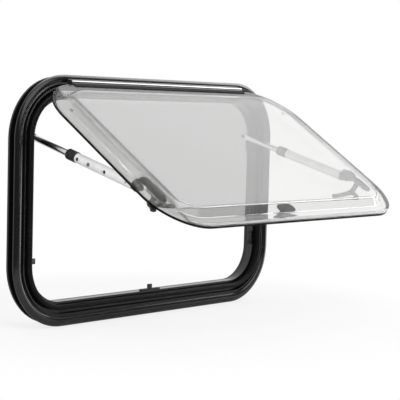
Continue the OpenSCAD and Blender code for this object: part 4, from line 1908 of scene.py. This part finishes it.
@dataclass
class LatchAssembly:
    """One latch: rounded base with its screws, and an arched lever with a ribbed grip.

    `tail_past` and `nose_past` are how far the round ends of the lever's arms reach past its own lengths.
    `backing_share` places the backing plate's middle between the hub and the stay's pad.
    """

    way: LatchWay
    plans: Plans
    sizes: WindowSizes = WINDOW
    base_round: float = 0.9 * MM
    hub_r: float = 8.0 * MM
    hub_bore: float = 3.3 * MM
    hub_cut: float = 1.2 * MM
    hub_around: int = 40
    tail_start: float = 6.5 * MM
    tail_past: float = 3.4 * MM
    tail_bow: float = 16 * MM
    tail_arch: float = 8 * MM
    nose_start: float = 5.5 * MM
    nose_past: float = 4.6 * MM
    nose_arch: float = 4 * MM
    grip_share: float = 0.62
    grip_drop: float = 2.45 * MM
    grip_bars: int = 7
    grip_pitch: float = 3.2 * MM
    grip_r: float = 0.6 * MM
    grip_len: float = 7.6 * MM
    backing: PlateShape = PlateShape(72 * MM, 27 * MM, 2.2 * MM, 0.7 * MM, 13.4 * MM)
    backing_share: float = 0.4
    screw_shift: float = 6.5 * MM
    screw_sink: float = 4 * MM
    screw_pitch: float = 37 * MM
    screw_scale: float = 0.9

    def place(self) -> Matrix:
        """Where the latch sits on the opened sash, with X to the right, Y up the sash and Z outwards."""
        x, z = self.way.hub
        return self.sizes.swing() @ axes((x, 0.0, z), RIGHTWARD, (0.0, -1.0, 0.0))

    def build(self) -> None:
        """Builds the latch."""
        word = self.way.word
        finish = BLACK_PLASTIC if word == "bottom" else GREY_PLASTIC
        softened(f"latch_base_{word}", f"base_{word}", self.base_round, finish, 3)
        self.lever()
        self.base_screws()
        if word != "bottom":
            self.backing_plate()

    def backing_plate(self) -> None:
        """The plate under the inner sheet that the latch and the stay's pad are both fixed to."""
        s = self.sizes
        middle = (0.0, s.latch_stay_gap * self.backing_share, s.sash_out)
        body = Loft()
        body.plate(self.place() @ axes(middle, INWARD, (0.0, 0.0, -1.0)), self.backing)
        body.piece(f"backing_plate_{self.way.word}", GREY_PLASTIC, "sash")

    def tail(self) -> Arm:
        """The lever's long arm, which arches away from the sash."""
        return Arm(
            start=self.tail_start, end=self.sizes.tail_len + self.tail_past,
            bow=self.way.bow * self.tail_bow, arch=self.tail_arch,
            width=(12.5, -2.5), thick=(6.0, 0.6), tip=0.93, least=(0.12, 0.25), steps=24,
        )

    def nose(self) -> Arm:
        """The lever's short arm, which goes behind the catch."""
        return Arm(
            start=self.nose_start, end=self.sizes.nose_len + self.nose_past,
            bow=0.0, arch=self.nose_arch,
            width=(13.0, 1.0), thick=(6.0, 2.0), tip=0.75, least=(0.15, 0.3), steps=10,
        )

    def lever(self) -> None:
        """The lever: a drilled hub, the tail with its grip, and the nose."""
        s, word = self.sizes, self.way.word
        tail, half = self.tail(), s.lever_t / 2
        hub = self.place() @ Matrix.Translation((0.0, 0.0, -s.post_depth - s.pin_gap - half))
        tail_place = hub @ Matrix.Rotation(math.radians(self.way.tail), 4, "Z")
        r, bore, cut = self.hub_r, self.hub_bore, self.hub_cut
        body = Loft()
        body.spin(hub, [
            (bore, -half), (r - cut, -half), (r, -half + cut), (r, half - cut), (r - cut, half), (bore, half),
        ], self.hub_around, looped=True)
        body.bar(tail_place, tail.line())
        body.bar(hub @ Matrix.Rotation(math.radians(self.way.nose), 4, "Z"), self.nose().line())
        made = body.piece(f"lever_{word}", LEVER_PLASTIC, f"lever_{word}")
        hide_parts(f"latch_lever_{word}")
        self.grip(tail_place, tail)

    def grip(self, place: Matrix, tail: Arm) -> None:
        """Finger ribs across the inner side of the tail.

        Args:
            place: The tail's place.
            tail: The tail.
        """
        t, reach, word = self.grip_share, self.sizes.tail_len, self.way.word
        x, y, z = tail.spot(t)
        sway, slope = tail.bow * (1 - 2 * t) / reach, -2 * tail.arch * t / reach
        tilt = Matrix.Rotation(math.atan(sway), 4, "Z") @ Matrix.Rotation(-math.atan(slope), 4, "Y")
        spot = place @ Matrix.Translation((x, y, z - self.grip_drop)) @ tilt
        self.plans.bars.make(f"grip_{word}", f"lever_{word}", LEVER_PLASTIC, spot, {
            "Count": self.grip_bars, "Pitch": self.grip_pitch, "Radius": self.grip_r, "Length": self.grip_len,
        })

    def base_screws(self) -> None:
        """Two screws through the base's inner side."""
        x, y = (side * self.screw_shift for side in self.way.screw_side)
        at = (x, y, self.sizes.sash_out - self.screw_sink)
        place = self.place() @ axes(at, self.way.screw_way, (0.0, 0.0, -1.0))
        name = f"screws_base_{self.way.word}"
        self.plans.screws(name, "sash", place, 2, self.screw_pitch, self.screw_scale, SCREW_STEEL)


# Studio and camera


@dataclass(frozen=True)
class Lamp:
    """A soft box: its place, its width and height, its power in watts and what it points at."""

    name: str
    place: Point
    size: Pair
    power: float
    aim: Point = (0.0, 0.0, 0.25)

    def hang(self) -> None:
        """Makes the lamp, which isn't mirrored or seen through the acrylic."""
        data = bpy.data.lights.new(self.name, "AREA")
        data.shape = "RECTANGLE"
        data.size, data.size_y = self.size
        data.energy = self.power
        made = shown(self.name, data)
        made.visible_glossy = made.visible_transmission = False
        made.location = self.place
        made.rotation_euler = (Vector(self.aim) - Vector(self.place)).to_track_quat("-Z", "Y").to_euler()


@dataclass(frozen=True)
class Panel:
    """A soft-edged light patch of the world round a direction, which only mirrors see.

    `edge` holds the cosines where it begins and where it is full.
    """

    way: Point
    edge: Pair
    strength: float

    def glow(self, graph: Graph, way: Signal) -> Signal:
        """The panel's light.

        Args:
            graph: The world's graph.
            way: The direction of the ray.

        Returns:
            Its strength there.
        """
        return graph.toward(way, self.way).ramp(*self.edge) * self.strength


@dataclass
class Studio:
    """The camera at the photograph's place, the lamps, the world and the floor.

    Pairs of numbers are the ends of soft steps: in Y or Z of a ray's direction by their names, along
    `strip_side` for `strip_half`, and in the ray's cosine to the camera's direction for the rest. `card_edge`
    is how far right of the picture's middle the grey card ends, in shares of the distance.
    """

    target: Vector = field(default_factory=lambda: Vector((0.163, 0.0, 0.247)))
    azimuth: float = -48.87
    elevation: float = 3.9
    roll: float = 1.45
    distance: float = 3.124
    focal_px: float = 1300.0
    image_px: float = 400.0
    sensor: float = 36.0
    floor_z: float = -0.011
    floor_r: float = 0.95
    fill: float = 0.68
    front: float = 0.12
    front_y: Pair = (-0.05, 0.35)
    ceiling: float = 5.0
    ceiling_y: Pair = (-0.48, -0.22)
    ceiling_far_y: Pair = (0.10, 0.03)
    ceiling_z: Pair = (0.20, 0.45)
    panel: Panel = Panel((0.7515, 0.194, 0.631), (0.80, 0.93), 0.96)
    brow: Panel = Panel((0.10, -0.82, 0.563), (0.84, 0.95), 2.2)
    flank: Panel = Panel((0.998, -0.05, 0.0), (0.62, 0.90), 2.4)
    flank_top_z: Pair = (0.15, 0.02)
    flank_foot_z: Pair = (-0.60, -0.30)
    strip: Panel = Panel((0.955, -0.295, -0.02), (0.70, 0.85), 2.5)
    strip_side: Point = (0.295, 0.955, 0.0)
    strip_half: Pair = (0.11, 0.05)
    glare: float = 1.0
    glare_edge: Pair = (0.94, 0.99)
    card: float = 0.43
    film_card: float = 0.67
    card_edge: float = 0.046
    card_soft: float = 0.006
    card_ahead: Pair = (0.6, 0.8)
    sky_ahead: Pair = (0.3, 0.6)
    sky_y: Pair = (-0.30, -0.60)
    lamps: tuple[Lamp, ...] = (
        Lamp("key", (-1.6, -2.4, 2.6), (1.4, 1.0), 60.0),
        Lamp("side", (2.6, -1.6, 1.0), (0.5, 1.8), 25.0),
    )

    def back(self) -> Vector:
        """Unit vector from the target to the camera."""
        a, e = math.radians(self.azimuth), math.radians(self.elevation)
        return Vector((math.sin(a) * math.cos(e), -math.cos(a) * math.cos(e), math.sin(e)))

    def right(self) -> Vector:
        """Unit vector to the camera's right, with its roll."""
        back = self.back()
        level = Vector((0.0, 0.0, 1.0)).cross(back).normalized()
        r = math.radians(self.roll)
        return level * math.cos(r) + back.cross(level) * math.sin(r)

    def camera(self) -> None:
        """Makes the camera."""
        back, right = self.back(), self.right()
        turn = Matrix((right, back.cross(right), back)).transposed()
        data = bpy.data.cameras.new("camera")
        data.sensor_width = self.sensor
        data.lens = self.focal_px / self.image_px * data.sensor_width
        made = shown("camera", data)
        made.matrix_world = Matrix.Translation(self.target + back * self.distance) @ turn.to_4x4()
        bpy.context.scene.camera = made

    def room(self, graph: Graph, way: Signal) -> Signal:
        """The light of the plain room, dim in front of the window and white behind it.

        Args:
            graph: The world's graph.
            way: The direction of the ray.

        Returns:
            Its strength there.
        """
        _, y, _ = graph.apart(way)
        return self.front + y.ramp(*self.front_y) * (1.0 - self.front)

    def mirrored(self, graph: Graph, way: Signal) -> tuple[Signal, Signal]:
        """What mirrors see of the surroundings.

        Args:
            graph: The world's graph.
            way: The direction of the ray.

        Returns:
            The light that every mirror sees, and the light that only the first one does.
        """
        _, y, z = graph.apart(way)
        soft = self.room(graph, way).higher(self.panel.glow(graph, way))
        above = y.ramp(*self.ceiling_y) * y.ramp(*self.ceiling_far_y) * z.ramp(*self.ceiling_z) * self.ceiling
        flank = self.flank.glow(graph, way) * z.ramp(*self.flank_top_z) * z.ramp(*self.flank_foot_z)
        glare = graph.toward(way, -self.back()).ramp(*self.glare_edge) * self.glare
        brow = self.brow.glow(graph, way)
        strip = graph.toward(way, self.strip_side).size().ramp(*self.strip_half) * self.strip.glow(graph, way)
        return soft, soft.higher(above).higher(flank).higher(glare).higher(brow) + strip

    def behind(self, graph: Graph, way: Signal, rays: Rays) -> Signal:
        """What is seen through the acrylic: white, with a grey card from the left up to its edge.

        Args:
            graph: The world's graph.
            way: The direction of the ray.
            rays: The kinds of ray.

        Returns:
            The light.
        """
        _, y, _ = graph.apart(way)
        ahead = graph.toward(way, -self.back())
        beyond = self.room(graph, way).higher(ahead.ramp(*self.sky_ahead)).higher(y.ramp(*self.sky_y))
        sideways = graph.toward(way, self.right()) / ahead.higher(0.05)
        edge = sideways.ramp(self.card_edge + self.card_soft, self.card_edge - self.card_soft)
        card = edge * ahead.ramp(*self.card_ahead)
        bent = rays.bent * (1.0 - card * (1.0 - self.card))
        straight = rays.straight * (1.0 - card * (1.0 - self.film_card))
        return (bent + straight) * beyond

    def world(self) -> None:
        """Makes the surroundings: white to the camera, light patches for mirrors and an even fill."""
        world = bpy.data.worlds.new("studio_world")
        bpy.context.scene.world = world
        graph = Graph(world)
        way, rays = graph.place(), graph.rays()
        soft, hard = self.mirrored(graph, way)
        seen = rays.mirrored * (soft + rays.first * (hard - soft))
        rest = 1.0 - (rays.through() + rays.mirrored).clamped()
        strength = rays.camera + seen + self.behind(graph, way, rays) + rest * self.fill
        white = {"Color": (1.0, 1.0, 1.0, 1.0), "Strength": strength}
        graph.finish(graph.node("ShaderNodeBackground", None, white))

    def floor(self) -> None:
        """Makes the floor under the window."""
        work = bmesh.new()
        bmesh.ops.create_circle(work, cap_ends=True, segments=96, radius=self.floor_r)
        bmesh.ops.translate(work, verts=work.verts, vec=(0.0, 0.0, self.floor_z))
        mesh = meshed("studio_floor", work)
        linked("studio_floor", mesh, StudioPaper("studio_paper"))

    def build(self) -> None:
        """Makes the whole studio."""
        self.camera()
        self.world()
        self.floor()
        for lamp in self.lamps:
            lamp.hang()
        bpy.context.scene.view_settings.view_transform = "Standard"


def main() -> None:
    """Builds the window's sub-assemblies in order, then the studio."""
    logging.basicConfig(level=logging.INFO, format="%(message)s")
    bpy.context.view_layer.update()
    studio = Studio()
    studio.build()
    plans = Plans()
    FrameAssembly(plans).build()
    SashAssembly().build()
    for side in Side:
        StayAssembly(side, plans).build()
    for way in LATCHES:
        LatchAssembly(way, plans).build()


if __name__ == "__main__":
    main()
